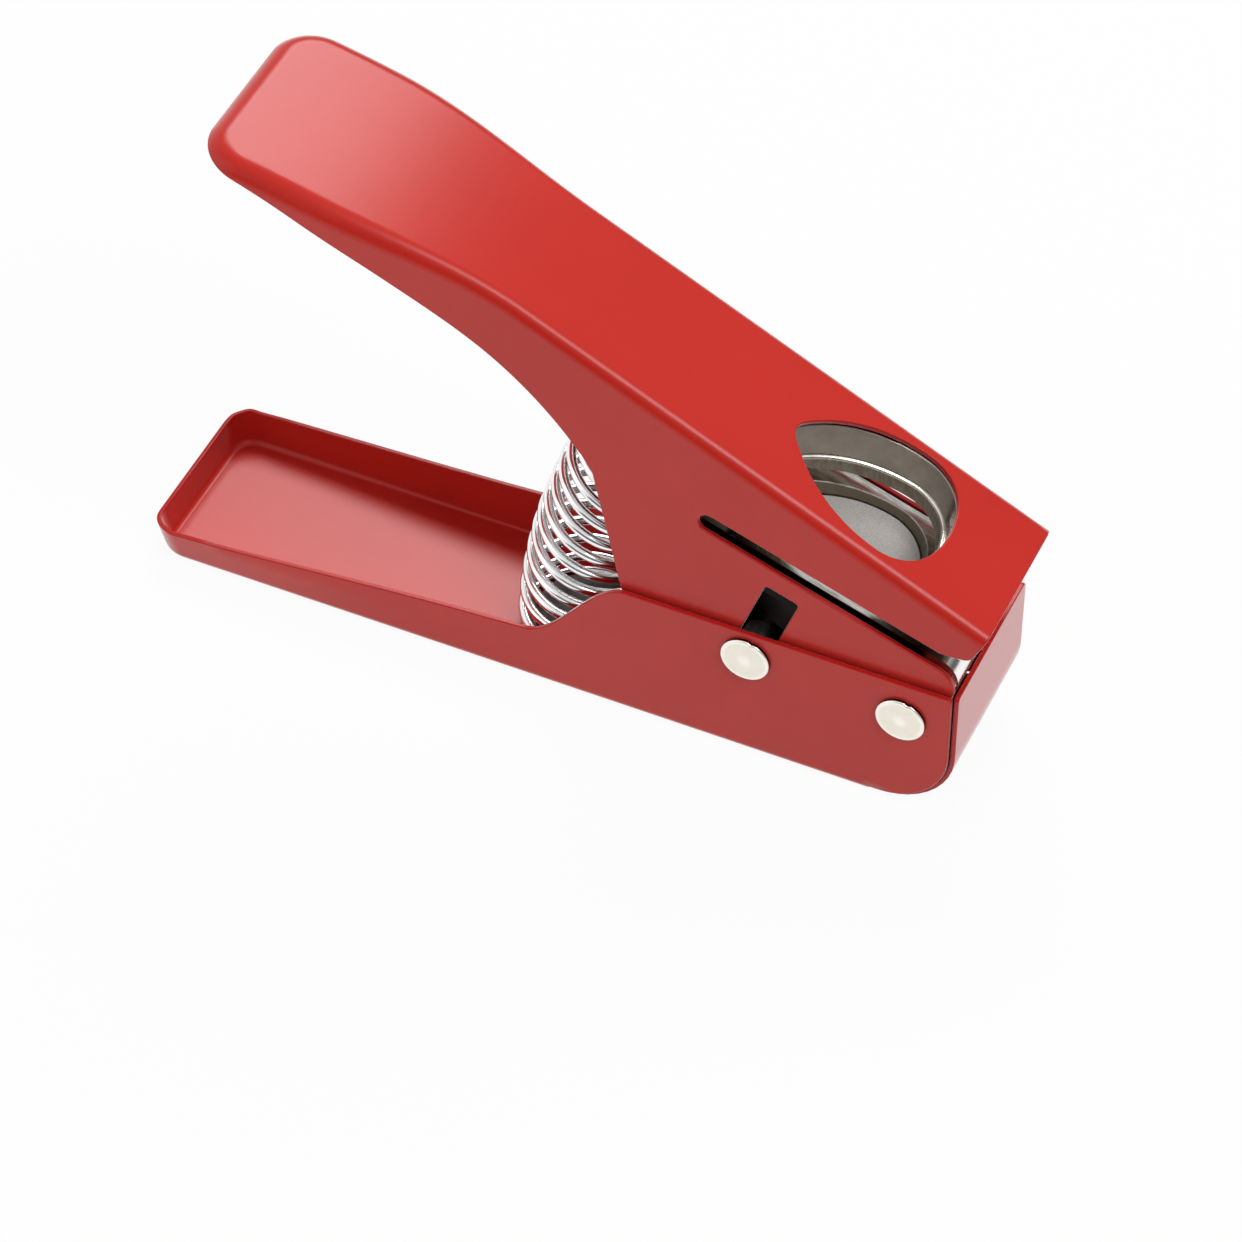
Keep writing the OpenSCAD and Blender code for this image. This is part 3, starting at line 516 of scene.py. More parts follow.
def lever_place(p):
    """Drawn lever over its blank: the top inside the crease, then outwards a bend of radius edge_round
    and a side straight down. Round the tail's corners the way out is a fan about the corner's centre.
    """
    u, y = p[:, 0], np.abs(p[:, 1])
    side = np.where(p[:, 1] < 0, -1.0, 1.0)
    edge = edge_round(np.minimum(u, tail_turn))
    corner_r = tail_corner - tail_edge
    du, dy = np.maximum(u - tail_turn, 0), np.maximum(y - tail_cy, 0)
    reach = np.hypot(du, dy)
    past = u > tail_turn
    s = np.where(past, reach - corner_r, y - half_width(u) + edge)
    way = np.where(past[:, None], np.stack([du, dy], 1) / np.maximum(reach, 1e-9)[:, None], [0.0, 1.0])
    turn = np.clip(s / edge, 0, math.pi / 2)
    pull = np.where(s > 0, edge * np.sin(turn) - s, 0)
    to_u = u + pull * way[:, 0]
    to_y = y + pull * way[:, 1]
    depth = droop(to_u) + edge * (1 - np.cos(turn)) + np.maximum(s - edge * math.pi / 2, 0)
    return from_lever(to_u, side * to_y, depth)


def side_reach(u, depth):
    """Distance out from the crease, in the blank, of a side point at u and that depth."""
    edge = edge_round(u)
    d = depth - droop(u)
    bent = edge * np.arccos(np.clip(1 - d / edge, -1, 1))
    return np.where(d < edge, bent, d - edge + edge * math.pi / 2)


def on_side(path):
    """Blank points of a side-view path of distance behind the front and depth."""
    u, depth = path[:, 0], path[:, 1]
    return np.stack([u, half_width(u) - edge_round(u) + side_reach(u, depth)], axis=1)


def from_strip(path):
    """Side-view points of the lever from those in the frame of the strip: turned by slot_tilt."""
    x = path[:, 0] * slot_cos - path[:, 1] * slot_sin
    z = path[:, 0] * slot_sin + path[:, 1] * slot_cos
    return np.stack([pivot_u - x, pivot_depth - z], axis=1)


def pick_loop(grow, n=1.0):
    """Outline of a pick, larger by grow all round: four arcs a side, tangent to each other, tip to -x."""
    w, heel, shoulder, flank_painted_shade, tip = 11.6, 9.1, 8.6, 26.6, 2.6
    flank_y = w - flank_painted_shade
    tip_x = math.sqrt((flank_painted_shade - tip) ** 2 - flank_y ** 2)
    shoulder_y = w - shoulder
    end = (shoulder_y ** 2 + heel ** 2 - shoulder ** 2) / (2 * (heel - shoulder))
    end_a = math.degrees(math.atan2(shoulder_y, heel - end))
    tip_a = 90 + math.degrees(math.atan2(tip_x, -flank_y))
    half = np.concatenate([
        arc(heel - end, 0, end + grow, 0, 180 - end_a, int(12 * n))[:-1],
        arc(0, shoulder_y, shoulder + grow, 180 - end_a, 90, int(20 * n))[:-1],
        arc(0, flank_y, flank_painted_shade + grow, 90, tip_a, int(30 * n))[:-1],
        arc(-tip_x, 0, tip + grow, tip_a, 180, int(14 * n)),
    ])
    return both_sides(half)


# The mouth's flare starts over the pivot and runs up to a rounded corner on the lever's front edge.
slot_top = slot_h + slot_r
mouth_run = (pivot_u + slot_top * slot_sin) / (slot_cos - mouth_flare * slot_sin)
mouth_corner = from_strip(np.array([[mouth_run, slot_top + mouth_run * mouth_flare]]))[0]
corner_turn = math.pi / 2 - math.atan(mouth_flare) - slot_tilt
corner_up = mouth_corner[1] - mouth_r * math.tan(corner_turn / 2)
mouth_round = arc(mouth_r, corner_up, mouth_r, 180, 180 - math.degrees(corner_turn), 9)
slot_path = np.concatenate([
    [[0.6, slot_top + 0.25], [-0.6, slot_top]],
    arc(slot_r - slot_l, slot_h, slot_r, 90, 270, 17),
    arc(lip_x - lip_r, slot_h - slot_r - lip_r, lip_r, 90, 0, 10),
])
boss = arc(-pivot_u, -pivot_depth, boss_r, 10, -110, 22) * -1
throat = np.linspace(cheek_u, tail_turn, 64)
cheek = np.concatenate([
    mouth_round, from_strip(slot_path), boss, [cheek_toe, (cheek_heel[0] - 2, cheek_heel[1] + 1), cheek_heel],
    np.stack([throat, low_edge(throat)], axis=1),
])
tail_a = np.radians(np.linspace(0, 90, 25)[1:])
tail_u = tail_turn + tail_corner * np.sin(tail_a)
tail_s = tail_corner - tail_edge + low_edge(tail_u) - droop(tail_u) + tail_edge * (math.pi / 2 - 1)
tail_rim = np.stack([tail_turn + tail_s * np.sin(tail_a), tail_cy + tail_s * np.cos(tail_a)], axis=1)
lever_outline = np.concatenate([
    [[0.0, 0.0], [0.0, lever_half - lever_edge]], on_side(fill(cheek, lever_step)), tail_rim,
    [[tail_rim[-1, 0], 0.0]],
])
lever_outline = both_sides(fill(lever_outline, lever_step))
window_u = pivot_u - (pick_mid - pivot_depth * slot_sin) / slot_cos
window = pick_loop(0.4, 1.5) * [-1, 1] + [window_u, 0]
pin_low = np.array([-31.18, -9.62])
pin_high = np.array([-24.68, 9.85])
pin_r = 0.7
pin_box = np.concatenate([arc(pin_high[0] - pin_r, pin_high[1] - pin_r, pin_r, 0, 90, 5),
                          arc(pin_low[0] + pin_r, pin_high[1] - pin_r, pin_r, 90, 180, 5),
                          arc(pin_low[0] + pin_r, pin_low[1] + pin_r, pin_r, 180, 270, 5),
                          arc(pin_high[0] - pin_r, pin_low[1] + pin_r, pin_r, 270, 360, 5)])
cheek_holes = [on_side(fill(from_strip(np.concatenate([pin_box, pin_box[:1]])), lever_step))[:-1],
               on_side(from_strip(arc(0, 0, bore_r, 0, 360, 41)[:-1]))]
lever_holes = [h * [1, m] for h in cheek_holes for m in (-1, 1)]

bend_k = math.pi / 2 * np.linspace(0, 1, 9)
drop_s = np.arange(1.0, 44, 2.4)
side_u = np.arange(-4.0, tail_turn, lever_step)
side_edge = edge_round(side_u)[:, None]
side_s = np.concatenate([side_edge * bend_k, side_edge * math.pi / 2 + drop_s], axis=1)
tail_bend = np.concatenate([tail_edge * bend_k, tail_edge * math.pi / 2 + drop_s[:5]])
tail_reach = tail_corner - tail_edge + tail_bend
fan_a = np.radians(np.linspace(0, 90, 17))[:, None]
top_u = np.concatenate([np.arange(5, handle_u, 6.0), np.arange(handle_u, tail_turn + 4, lever_step)])
top_half = half_width(top_u) - edge_round(top_u)
lever_pins = mirrored_pins(np.concatenate([
    paired(side_u[:, None], half_width(side_u)[:, None] - side_edge + side_s),
    paired(tail_turn + tail_reach * np.sin(fan_a), tail_cy + tail_reach * np.cos(fan_a)),
    paired(tail_turn + tail_reach, np.linspace(0, tail_cy, 8)[:-1, None]),
    paired(top_u[:, None], np.linspace(0, 0.86, 6) * top_half[:, None]),
]))
lever_loops = [lever_outline, window] + lever_holes
lever = stamped("lever_sheet", lever_loops, lever_pins, lever_place, -1, lever_sheet, lever_edge_r)
lever.data.materials.append(red_coat)
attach(lever, "lever")
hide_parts("lever_shell")

# Return spring: 17 turns of bright chromed 1.8 mm wire on an axis that leaves the floor and the lever's
# underside square. It stands on a pressed cap at each end.
wire_r = 0.9
coil_r = 11.1
spring_u = 65.2
spring_turns = 17
flat_turn = 0.4
head_gap = 1.05
turn_steps = 64
wire_sides = 20
axis_foot = np.array([1.2, 0.0, 1.95])
lever_up = np.array([math.sin(lever_tilt), 0.0, math.cos(lever_tilt)])
under_top = from_lever(np.array([spring_u]), np.array([0.0]), np.array([lever_sheet]))[0]
axis_head = under_top - head_gap * lever_up
axis_bend = axis_head - (axis_head[0] - axis_foot[0]) / lever_up[0] * lever_up
foot_pace = np.linalg.norm(axis_bend - axis_foot)
head_pace = np.linalg.norm(axis_head - axis_bend)


def wire_path(t):
    """Wire t turns from the foot: a parabola's point plus coil_r times the turning direction out of it.

    The share of the parabola is evened out by length: s (v0 + v1) / (v0 + root(v0^2 + (v1^2 - v0^2) s)).
    """
    share = np.clip((t - flat_turn) / (spring_turns - 2 * flat_turn), 0, 1)
    q = share * (foot_pace + head_pace) / (
        foot_pace + np.sqrt(foot_pace ** 2 + (head_pace ** 2 - foot_pace ** 2) * share))
    q = q[:, None]
    at = (1 - q) ** 2 * axis_foot + 2 * q * (1 - q) * axis_bend + q * q * axis_head
    up = unit((1 - q) * (axis_bend - axis_foot) + q * (axis_head - axis_bend))
    a = 2 * math.pi * t[:, None]
    flat = np.stack([up[:, 2], np.zeros(len(t)), -up[:, 0]], axis=1)
    return at + coil_r * (np.sin(a) * [0.0, 1.0, 0.0] - np.cos(a) * flat), up


def joined(rows, after):
    """Four-sided faces between closed rows of points and the rows that come after them."""
    return np.stack([rows, np.roll(rows, -1, 1), np.roll(after, -1, 1), after], -1).reshape(-1, 4)


def rod(path, up, r, sides):
    """Round rod along a path: at each point a ring of the side direction times cosine and up times sine.

    The ends are closed by smaller rings, so that the cut wire has a broken edge.
    """
    tip, rim, out = 0.02, 0.82, 0.15
    along = unit(np.gradient(path, axis=0))
    side = unit(np.cross(up, along))
    lift = np.cross(along, side)
    radius = r * np.concatenate([[tip, rim], np.ones(len(path)), [rim, tip]])
    nudge = np.concatenate([[-out, -out], np.zeros(len(path)), [out, out]])
    path, along, side, lift = (np.pad(q, ((2, 2), (0, 0)), mode="edge") for q in (path, along, side, lift))
    a = np.linspace(0, 2 * math.pi, sides, endpoint=False)[None, :, None]
    ring = (path + nudge[:, None] * along)[:, None] + radius[:, None, None] * (
        np.cos(a) * side[:, None] + np.sin(a) * lift[:, None])
    rows, n = ring.shape[:2]
    index = np.arange(rows * n).reshape(rows, n)
    caps = [index[0][::-1][None], index[-1][None]]
    return ring.reshape(-1, 3), [joined(index[:-1], index[1:])] + caps


turns = np.linspace(0, spring_turns, spring_turns * turn_steps + 1)
wire, wire_up = wire_path(turns)
points, faces = rod(wire, wire_up, wire_r, wire_sides)
spring = mesh_piece("spring_wire", points, faces)
spring_chrome, tree, shader, spot = finish("bright_chrome", (0.90, 0.91, 0.91), 1, 0.1)
tint(tree, noise(tree, spot, 260, 3), (0.86, 0.875, 0.87), (0.93, 0.935, 0.94), shader.inputs["Base Color"])
spread(tree, noise(tree, spot, 420, 3), 0.08, 0.16, shader.inputs["Roughness"])
relief(tree, shader, noise(tree, spot, 500, 2), 0.05, 0.00004)
spring.data.materials.append(spring_chrome)
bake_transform(spring)
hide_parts("return_spring")

# Spring seats: pressed steel caps, spot welded to the floor and under the lever, that keep the spring's
# ends in place. They are phosphated and made near black, partly as painted shade inside the coil.
phosphate_painted_shade, tree, shader, spot = finish("dark_phosphate_painted_shade", (0.045, 0.041, 0.038), 0.6, 0.55)
tint(tree, noise(tree, spot, 500, 3, 0.6), (0.034, 0.031, 0.029), (0.058, 0.053, 0.049),
     shader.inputs["Base Color"])
spread(tree, noise(tree, spot, 1200, 2), 0.5, 0.62, shader.inputs["Roughness"])


def dress(names, coat):
    """Gives the pieces of these names, which keep their shape, a finish of their own."""
    for name in names:
        nodes[name].data.materials.clear()
        nodes[name].data.materials.append(coat)


# Seats near black: phosphate, and painted shade inside the coil.
dress(("lower_spring_seat", "upper_spring_seat"), phosphate_painted_shade)

# Sleeve, spacers, strip stop, anchor and dowels: turned or milled from bare steel. The anchor is welded under
# the lever's top, the sleeve and spacers sit on the rivets, and the others are in the die set.
steel, tree, shader, spot = finish("bare_steel", (0.46, 0.46, 0.47), 1, 0.35)
tint(tree, noise(tree, spot, 300, 4, 0.6), (0.36, 0.355, 0.35), (0.52, 0.52, 0.52),
     shader.inputs["Base Color"])
spread(tree, noise(tree, spot, 900, 2, stretch=(1, 12, 1)), 0.28, 0.44, shader.inputs["Roughness"])
relief(tree, shader, noise(tree, spot, 1500, 1, stretch=(1, 14, 1)), 0.15, 0.00002)
dress(("pivot_sleeve", "carrier_spacers", "strip_stop", "die_anchor", "die_dowels"), steel)

# Die holder: a chromed collar of the pick's outline, from the die plate up to the lever's top, on a flange
# that the die screws clamp under the lever. Its inner wall shows in the window; its chrome is darkened to a
# brown grey as painted shade in the well.
strip_tilt = math.radians(19.25)
die_low = 17.9
die_top = 21.05
flange_top = 23.55
set_rear = -46.2
set_front = 4.5
die_half = 13.9
collar_in = 0.63
collar_out = 1.48
collar_gap = 0.7
collar_lip = 0.2
flange_front = -4.77
flange_half = 13.05


def from_die(p):
    """Points in the part's frame from those of the die set: turned by strip_tilt about the pivot."""
    c, s = math.cos(strip_tilt), math.sin(strip_tilt)
    return np.stack([pivot_xz[0] + p[:, 0] * c + p[:, 2] * s, p[:, 1],
                     pivot_xz[1] - p[:, 0] * s + p[:, 2] * c], axis=1)


def ring_solid(name, rows, closed=True, crisp=35):
    """Solid from rings of as many points each, given in the die set's frame and joined ring to ring.

    A closed one joins its last ring to its first, round a hole. An open one fills both end rings.
    """
    grid = np.stack(rows)
    k, n = grid.shape[:2]
    index = np.arange(k * n).reshape(k, n)
    after = np.roll(index, -1, 0) if closed else index[1:]
    first = index if closed else index[:-1]
    quads = joined(first, after)
    faces = [quads] if closed else [quads, index[0][::-1][None], index[-1][None]]
    made = mesh_piece(name, from_die(grid.reshape(-1, 3)), faces)
    made.data.set_sharp_from_angle(angle=math.radians(crisp))
    return made


def level(loop, z):
    """Ring of a flat loop about the pick's middle, at height z or at a height for each point."""
    z = np.broadcast_to(z, len(loop))
    return np.stack([loop[:, 0] + pick_mid, loop[:, 1], z], axis=1)


def squared(loop, x0, x1, half):
    """Each point of a loop carried straight out from the pick's middle to a rectangle."""
    way = unit(loop)
    fx = np.where(way[:, 0] > 0, x1 - pick_mid, pick_mid - x0) / np.maximum(np.abs(way[:, 0]), 1e-9)
    fy = half / np.maximum(np.abs(way[:, 1]), 1e-9)
    return way * np.minimum(fx, fy)[:, None]


def under_lever(loop, gap):
    """Height, in the die set's frame, of the lever's underside over each point of a loop, less a gap."""
    return (pivot_depth - lever_sheet - gap - (loop[:, 0] + pick_mid) * slot_sin) / slot_cos


inner, outer = pick_loop(collar_in, 2), pick_loop(collar_out, 2)
flange = squared(outer, set_rear, flange_front, flange_half)
holder = ring_solid("die_collar", [
    level(inner, die_top), level(inner, under_lever(inner, collar_gap + 0.15)),
    level(pick_loop(collar_in + collar_lip, 2), under_lever(inner, collar_gap)),
    level(outer, under_lever(outer, collar_gap)), level(outer, flange_top), level(flange, flange_top),
    level(flange, die_top),
])
# Chrome darkened to brown grey: painted shade in the well.
die_chrome, tree, shader, spot = finish("die_chrome", (0.32, 0.285, 0.245), 1, 0.2)
tint(tree, noise(tree, spot, 240, 4, 0.6), (0.275, 0.24, 0.205), (0.36, 0.325, 0.285),
     shader.inputs["Base Color"])
spread(tree, noise(tree, spot, 700, 3), 0.14, 0.27, shader.inputs["Roughness"])
relief(tree, shader, noise(tree, spot, 900, 2, stretch=(1, 1, 5)), 0.10, 0.00003)
holder.data.materials.append(die_chrome)
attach(holder, "lever")
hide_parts("die_holder")

# Die plate: hardened plate whose pick-shaped hole cuts. Its polished ledge and bevelled front edge are near
# white, a painted highlight for the ring below the collar and the slot's mouth; the rest is dark brown,
# painted shade.
ledge_r = 0.5
front_bevel = 1.2
hole_grow = 0.08
hole = pick_loop(hole_grow, 2)
plate = squared(hole, set_rear, set_front, die_half)
bevelled = squared(hole, set_rear, set_front - front_bevel, die_half)
ledge_a = np.radians(np.linspace(0, 90, 6))
ledge = [level(pick_loop(hole_grow + ledge_r * (1 - math.cos(q)), 2), die_top - ledge_r * (1 - math.sin(q)))
         for q in ledge_a]
die_rows = [level(hole, die_low)] + ledge + [
    level(plate, die_top), level(plate, die_low + front_bevel), level(bevelled, die_low)]
die_plate = ring_solid("die_plate_dressed", die_rows)
ledge_chrome_painted_highlight, tree, shader, spot = finish("ledge_chrome_painted_highlight", (0.90, 0.87, 0.80), 1, 0.3)
tint(tree, noise(tree, spot, 260, 4), (0.84, 0.80, 0.72), (0.94, 0.92, 0.86), shader.inputs["Base Color"])
spread(tree, noise(tree, spot, 800, 3), 0.24, 0.36, shader.inputs["Roughness"])
relief(tree, shader, noise(tree, spot, 1200, 2), 0.12, 0.00003)
bore_painted_shade, tree, shader, spot = finish("ground_steel_painted_shade", (0.22, 0.185, 0.145), 1, 0.32)
tint(tree, noise(tree, spot, 500, 4, 0.6, (3, 3, 0.6)), (0.165, 0.135, 0.10), (0.275, 0.235, 0.19),
     shader.inputs["Base Color"])
spread(tree, noise(tree, spot, 800, 3), 0.25, 0.4, shader.inputs["Roughness"])
die_plate.data.materials.append(ledge_chrome_painted_highlight)
die_plate.data.materials.append(bore_painted_shade)
band = np.arange(len(die_plate.data.polygons)) // len(hole)
# Ledge, top and front bevel: near-white painted highlight; the other faces: dark brown painted shade.
highlit_bands = ((band > 0) & (band <= len(ledge))) | (band == len(die_rows) - 2)
die_plate.data.polygons.foreach_set("material_index", np.where(highlit_bands, 0, 1).astype(np.int32))
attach(die_plate, "lever")
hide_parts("die_plate")

# Guide block: lower half of the die set, hung on the pivot by two lugs. The punch slides in its pick-shaped
# hole. Its face is finished by grinding, and its rounded nose, over which the strip slides, is chromed. Below
# the face it is painted brown as shade, and its outer sides there are near black as painted shade.
guide_top = 14.5
nose_back = -1.5
hole_side = 12.3


def along(tree, spot, way):
    """Distance from the pivot in a direction, in mm: the dot product of the point and the direction."""
    made = tree.nodes.new("ShaderNodeVectorMath")
    made.operation = "DOT_PRODUCT"
    made.inputs[1].default_value = tuple(np.array(way) / MM)
    tree.links.new(spot, made.inputs[0])
    moved = tree.nodes.new("ShaderNodeMath")
    moved.operation = "SUBTRACT"
    moved.inputs[1].default_value = pivot_xz[0] * way[0] + pivot_xz[1] * way[2]
    tree.links.new(made.outputs["Value"], moved.inputs[0])
    return moved.outputs[0]


def worked(tree, operation, first, second=None):
    """Result of a plain sum, product or the like of one value or two."""
    made = tree.nodes.new("ShaderNodeMath")
    made.operation = operation
    tree.links.new(first, made.inputs[0])
    if second:
        tree.links.new(second, made.inputs[1])
    return made.outputs[0]


guide_steel, tree, shader, spot = finish("guide_steel", (0.55, 0.53, 0.50), 1, 0.2)
die_up = (math.sin(strip_tilt), 0.0, math.cos(strip_tilt))
die_ahead = (math.cos(strip_tilt), 0.0, -math.sin(strip_tilt))
aside = worked(tree, "ABSOLUTE", along(tree, spot, (0.0, 1.0, 0.0)))
under_face = share_over(tree, along(tree, spot, die_up), guide_top - 0.5, guide_top - 0.15, 1, 0)
nose = share_over(tree, along(tree, spot, die_ahead), nose_back - 1.5, nose_back)
# Painted shade: near black on the outer sides, brown on everything else below the face.
outer_side_painted_shade = worked(tree, "MULTIPLY", share_over(tree, aside, hole_side, hole_side + 0.3), under_face)
chromed = laid_over(tree, nose, (0.93, 0.925, 0.91), shader.inputs["Base Color"])
darkened = laid_over(tree, outer_side_painted_shade, (0.008, 0.007, 0.006), chromed)
below_face_painted_shade = laid_over(tree, under_face, (0.15, 0.12, 0.09), darkened)
brushed = noise(tree, spot, 420, 5, 0.65, (0.35, 3, 1))
tint(tree, brushed, (0.36, 0.335, 0.30), (0.74, 0.72, 0.69), below_face_painted_shade, 0.36, 0.62)
spread(tree, noise(tree, spot, 600, 3, stretch=(0.4, 4, 1)), 0.14, 0.28, shader.inputs["Roughness"])
relief(tree, shader, noise(tree, spot, 500, 3, stretch=(0.3, 4, 1)), 0.15, 0.00003)
dress(("guide_block",), guide_steel)

# Socket cap screws of the die set and of the punch, and the block that carries the punch: plain steel with
# a black oxide finish.
oxide, tree, shader, spot = finish("black_oxide", (0.016, 0.015, 0.014), 1, 0.45)
tint(tree, noise(tree, spot, 700, 4), (0.011, 0.010, 0.009), (0.021, 0.020, 0.019),
     shader.inputs["Base Color"])
spread(tree, noise(tree, spot, 1500, 2), 0.34, 0.48, shader.inputs["Roughness"])
dress(("die_screws", "punch_screws", "punch_carrier"), oxide)

# Punch: pick-shaped bar of sintered steel with a crowned face and a broken edge, screwed on the block that
# the rear rivet holds back when the lever is pressed.
punch_low = -2.67
punch_top = 11.85
crown_r = 60.0
crown_x = -1.5
broken_edge = 0.18
edge_drop = 0.2


def crown(loop, drop=0.0):
    """Height of the crowned face over each point of a loop: a circle of radius crown_r along x."""
    return punch_top - crown_r + np.sqrt(crown_r ** 2 - (loop[:, 0] - crown_x) ** 2) - drop


body = pick_loop(0, 2)
faces_in = [pick_loop(-broken_edge, 2) * k for k in (1, 0.93, 0.8, 0.6, 0.4, 0.2, 0.05)]
punch = ring_solid("punch_dressed", [level(body, punch_low), level(body, crown(body, edge_drop))]
                   + [level(q, crown(q)) for q in faces_in], closed=False)
sintered, tree, shader, spot = finish("sintered_steel", (0.72, 0.70, 0.67), 0.35, 0.55)
# The flank below the face is painted near black as shade inside the guide block's hole.
flank_painted_shade = share_over(tree, along(tree, spot, die_up), punch_top - 2.6, punch_top - 2.2, 1, 0)
face_grey = laid_over(tree, flank_painted_shade, (0.030, 0.027, 0.023), shader.inputs["Base Color"])
tint(tree, noise(tree, spot, 3200, 3, 0.7), (0.57, 0.555, 0.53), (0.81, 0.79, 0.755), face_grey)
spread(tree, noise(tree, spot, 1800, 2), 0.5, 0.7, shader.inputs["Roughness"])
relief(tree, shader, noise(tree, spot, 2600, 3, 0.65), 0.35, 0.00005)
punch.data.materials.append(sintered)
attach(punch, "punch")
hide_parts("punch")

# Rivets: the lever's axle in front and the punch's stop behind it, nickel plated. Each flat head was spun
# down over the wall, which left faint rings on it and a small nick at its edge.
rivet_r = 2.1
head_r = 4.5
head_t = 0.95
head_y = base_half + head_t
nick = 0.32
nick_at = math.radians(75)
nick_turn = math.radians(5)
head_dish = 0.16
ring_h = 0.02
rim_r = 0.3
seat_y = base_half + 0.02


def spun(name, profile, centre, sides=96):
    """Turned piece along y: each profile point of radius and y carried round, its end points being poles.

    The rim has a nick: its radius r is less by nick exp(-((a - nick_at) / nick_turn)^2) at the angle a.
    The attribute from_axis is r / head_r.
    """
    r, y = profile[:, 0], profile[:, 1]
    a = np.linspace(0, 2 * math.pi, sides, endpoint=False)
    worn = nick * np.exp(-((a - nick_at) / nick_turn) ** 2)
    reach = r[1:-1, None] - (r[1:-1, None] > head_r - 0.4) * worn
    ring = np.stack(np.broadcast_arrays(centre[0] + reach * np.cos(a), y[1:-1, None],
                                        centre[1] + reach * np.sin(a)), axis=-1)
    rows, n = ring.shape[:2]
    index = np.arange(rows * n).reshape(rows, n)
    poles = np.array([[centre[0], y[0], centre[1]], [centre[0], y[-1], centre[1]]])
    low = np.stack([np.full(n, rows * n), np.roll(index[0], -1), index[0]], axis=1)
    high = np.stack([np.full(n, rows * n + 1), index[-1], np.roll(index[-1], -1)], axis=1)
    faces = [joined(index[:-1], index[1:]), low, high]
    made = mesh_piece(name, np.concatenate([ring.reshape(-1, 3), poles]), faces)
    made.data.set_sharp_from_angle(angle=math.radians(50))
    far = made.data.attributes.new("from_axis", "FLOAT", "POINT")
    far.data.foreach_set("value", np.append(np.repeat(r[1:-1], n), [0, 0]) / head_r)
    return made


head_rs = np.linspace(0, head_r - 0.35, 26)
rings = ring_h * np.sin(head_rs * 6.5) * ease(head_rs / 0.6)
face = np.stack([head_rs, head_y - head_dish * (head_rs / head_r) ** 2 + rings - ring_h], axis=1)
rim = arc(head_r - rim_r, head_y - 0.45, rim_r, 80, 0, 6)
under = np.array([[head_r - 0.05, seat_y], [rivet_r, seat_y]])
near_half = np.concatenate([face, rim, under])
profile = np.concatenate([near_half * [1, -1], near_half[::-1]])
nickel, tree, shader, spot = finish("satin_nickel", (0.94, 0.90, 0.79), 1, 0.33)
past_wall = worked(tree, "ABSOLUTE", along(tree, spot, (0.0, 1.0, 0.0)))
# The head's side next to the wall is painted near black as shade.
shade = share_over(tree, past_wall, head_y - 0.5, head_y - 0.35, 1, 0)
plated = laid_over(tree, shade, (0.05, 0.035, 0.03), shader.inputs["Base Color"])
from_axis = carried(tree, "from_axis")
past_middle = share_over(tree, from_axis, 0.12, 0.36, 0, 0.55)
inside_rim = share_over(tree, from_axis, 0.80, 0.90, 1, 0)
ringed = laid_over(tree, worked(tree, "MULTIPLY", past_middle, inside_rim), (0.78, 0.73, 0.60), plated)
tint(tree, noise(tree, spot, 500, 4), (0.93, 0.895, 0.80), (0.99, 0.97, 0.90), ringed)
spread(tree, noise(tree, spot, 1400, 2), 0.27, 0.4, shader.inputs["Roughness"])
relief(tree, shader, noise(tree, spot, 1800, 2), 0.12, 0.00003)
for name, centre, node in (("front_rivet", pivot_xz, "pivot_rivet"), ("rear_rivet", pin_xz, "punch_rivet")):
    rivet = spun(name, profile, centre)
    rivet.data.materials.append(nickel)
    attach(rivet, "base")
    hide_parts(node)

# Washers: thin rings of natural nylon on the front rivet. They lie between the cheeks and the base's walls,
# so that the coats do not rub.
nylon, tree, shader, spot = finish("natural_nylon", (0.82, 0.81, 0.76), 0, 0.5)
tint(tree, noise(tree, spot, 600, 3), (0.79, 0.78, 0.72), (0.84, 0.83, 0.79), shader.inputs["Base Color"])
spread(tree, noise(tree, spot, 1200, 2), 0.42, 0.55, shader.inputs["Roughness"])
shader.inputs["Subsurface Weight"].default_value = 0.1
dress(("pivot_washers",), nylon)

# Studio: a white floor with one softbox behind the object, one overhead on its right and a weak fill from the
# front left. None of it belongs to the object.
floor_half = 4.0
floor_white = 0.94
floor_white_y = -0.35
floor_dark = 0.12
floor_dark_y = -0.6
room_light = 0.2
floor_mesh = bpy.data.meshes.new("studio_floor")
floor_mesh.from_pydata([(floor_half * x, floor_half * y, 0) for x, y in ((-1, -1), (1, -1), (1, 1), (-1, 1))],
                       [], [(0, 1, 2, 3)])
floor = bpy.data.objects.new("studio_floor", floor_mesh)
bpy.context.scene.collection.objects.link(floor)
paper = bpy.data.materials.new("white_paper")
paper.use_nodes = True
tree = paper.node_tree
shader = tree.nodes["Principled BSDF"]
shader.inputs["Base Color"].default_value = (0.9, 0.9, 0.9, 1)
shader.inputs["Roughness"].default_value = 0.9
shader.inputs["Specular IOR Level"].default_value = 0
# The floor is white where it is seen. In reflections it ends in front, where the dark of the room begins.
path = tree.nodes.new("ShaderNodeLightPath")
place = tree.nodes.new("ShaderNodeSeparateXYZ")
tree.links.new(tree.nodes.new("ShaderNodeTexCoord").outputs["Object"], place.inputs[0])
lit = tree.nodes.new("ShaderNodeMix")
lit.inputs[2].default_value = 1.0
tree.links.new(path.outputs["Is Glossy Ray"], lit.inputs[0])
ahead = share_over(tree, place.outputs["Y"], floor_dark_y, floor_white_y, floor_dark, 1.0)
tree.links.new(ahead, lit.inputs[3])
seen = worked(tree, "MAXIMUM", path.outputs["Is Camera Ray"], path.outputs["Is Glossy Ray"])
glow = tree.nodes.new("ShaderNodeEmission")
glow.inputs["Color"].default_value = (1, 1, 1, 1)
tree.links.new(lit.outputs[0], glow.inputs["Strength"])
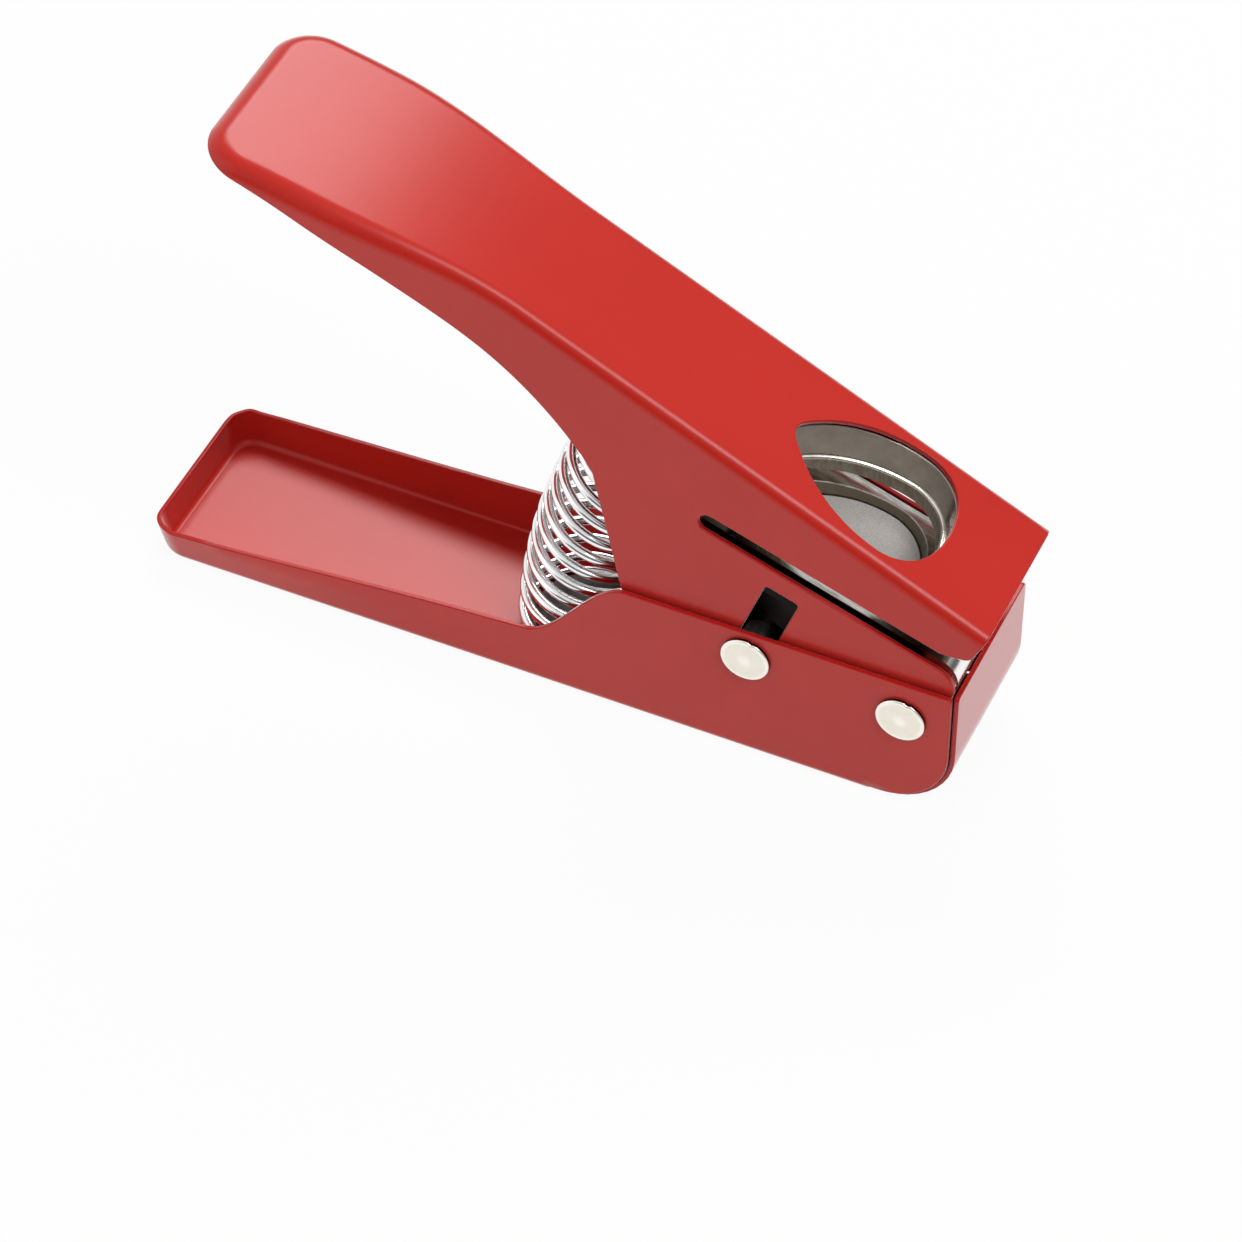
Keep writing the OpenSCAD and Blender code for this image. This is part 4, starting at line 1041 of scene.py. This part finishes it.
blend = tree.nodes.new("ShaderNodeMixShader")
tree.links.new(share_over(tree, seen, 0, 1, 0, floor_white), blend.inputs["Fac"])
tree.links.new(shader.outputs["BSDF"], blend.inputs[1])
tree.links.new(glow.outputs["Emission"], blend.inputs[2])
tree.links.new(blend.outputs["Shader"], tree.nodes["Material Output"].inputs["Surface"])
floor_mesh.materials.append(paper)

world = bpy.data.worlds.new("studio")
bpy.context.scene.world = world
world.use_nodes = True
tree = world.node_tree
sky = tree.nodes["Background"]
sky.inputs["Color"].default_value = (1, 1, 1, 1)
# The background is white where it is seen. In reflections it is bright overhead and on the left, and dark
# at eye level elsewhere.
path = tree.nodes.new("ShaderNodeLightPath")
way = tree.nodes.new("ShaderNodeSeparateXYZ")
tree.links.new(tree.nodes.new("ShaderNodeTexCoord").outputs["Generated"], way.inputs[0])
mirrored = tree.nodes.new("ShaderNodeMix")
mirrored.inputs[2].default_value = room_light
tree.links.new(path.outputs["Is Glossy Ray"], mirrored.inputs[0])
overhead = share_over(tree, way.outputs["Z"], 0.3, 0.75, 0.1, 0.8)
left_wall = share_over(tree, way.outputs["X"], -0.75, -0.45, 1.0, 0.0)
tree.links.new(worked(tree, "MAXIMUM", overhead, left_wall), mirrored.inputs[3])
strength = tree.nodes.new("ShaderNodeMix")
strength.inputs[3].default_value = 1.0
seen = worked(tree, "MAXIMUM", path.outputs["Is Camera Ray"], path.outputs["Is Transmission Ray"])
tree.links.new(seen, strength.inputs[0])
tree.links.new(mirrored.outputs[0], strength.inputs[2])
tree.links.new(strength.outputs[0], sky.inputs["Strength"])


def softbox(name, toward, far, width, height, watts):
    """Rectangular lamp at that distance in a direction from the object's middle, facing it."""
    middle = Vector((0, 0, 0.04))
    lamp = bpy.data.lights.new(name, "AREA")
    lamp.shape = "RECTANGLE"
    lamp.size, lamp.size_y, lamp.energy = width, height, watts
    box = bpy.data.objects.new(name, lamp)
    way = Vector(toward).normalized()
    across = Vector((0, 1, 0)).cross(way).normalized()
    axes = Matrix((across, way.cross(across), way)).transposed()
    box.matrix_world = Matrix.Translation(middle + far * way) @ axes.to_4x4()
    bpy.context.scene.collection.objects.link(box)


softbox("back_softbox", (-0.21, 0.63, 0.75), 1.2, 0.65, 0.5, 7.8)
softbox("top_softbox", (0.53, -0.2, 0.83), 1.2, 0.45, 0.5, 6.4)
softbox("left_fill", (-0.62, -0.66, 0.42), 0.6, 0.5, 0.5, 0.5)

# Camera: a long lens at the photograph's angle, above the front right of the object. Its place and lens were
# fitted to the edges of the base and the lever.
camera_data = bpy.data.cameras.new("camera")
camera_data.lens = 156.53
camera_data.sensor_width = 36.0
camera_data.clip_end = 20.0
camera = bpy.data.objects.new("camera", camera_data)
swing, rise, roll = math.radians(24.3150), math.radians(46.2368), math.radians(0.30322)
back = np.array([math.sin(swing) * math.cos(rise), -math.cos(swing) * math.cos(rise), math.sin(rise)])
right = np.array([math.cos(swing), math.sin(swing), 0.0])
above = np.cross(back, right)
pose = np.eye(4)
pose[:3, 0] = math.cos(roll) * right + math.sin(roll) * above
pose[:3, 1] = math.cos(roll) * above - math.sin(roll) * right
pose[:3, 2] = back
pose[:3, 3] = np.array([280.539, -603.078, 694.280]) * MM
camera.matrix_world = Matrix(pose.tolist())
bpy.context.scene.collection.objects.link(camera)
bpy.context.scene.camera = camera
bpy.context.scene.view_settings.view_transform = "Standard"
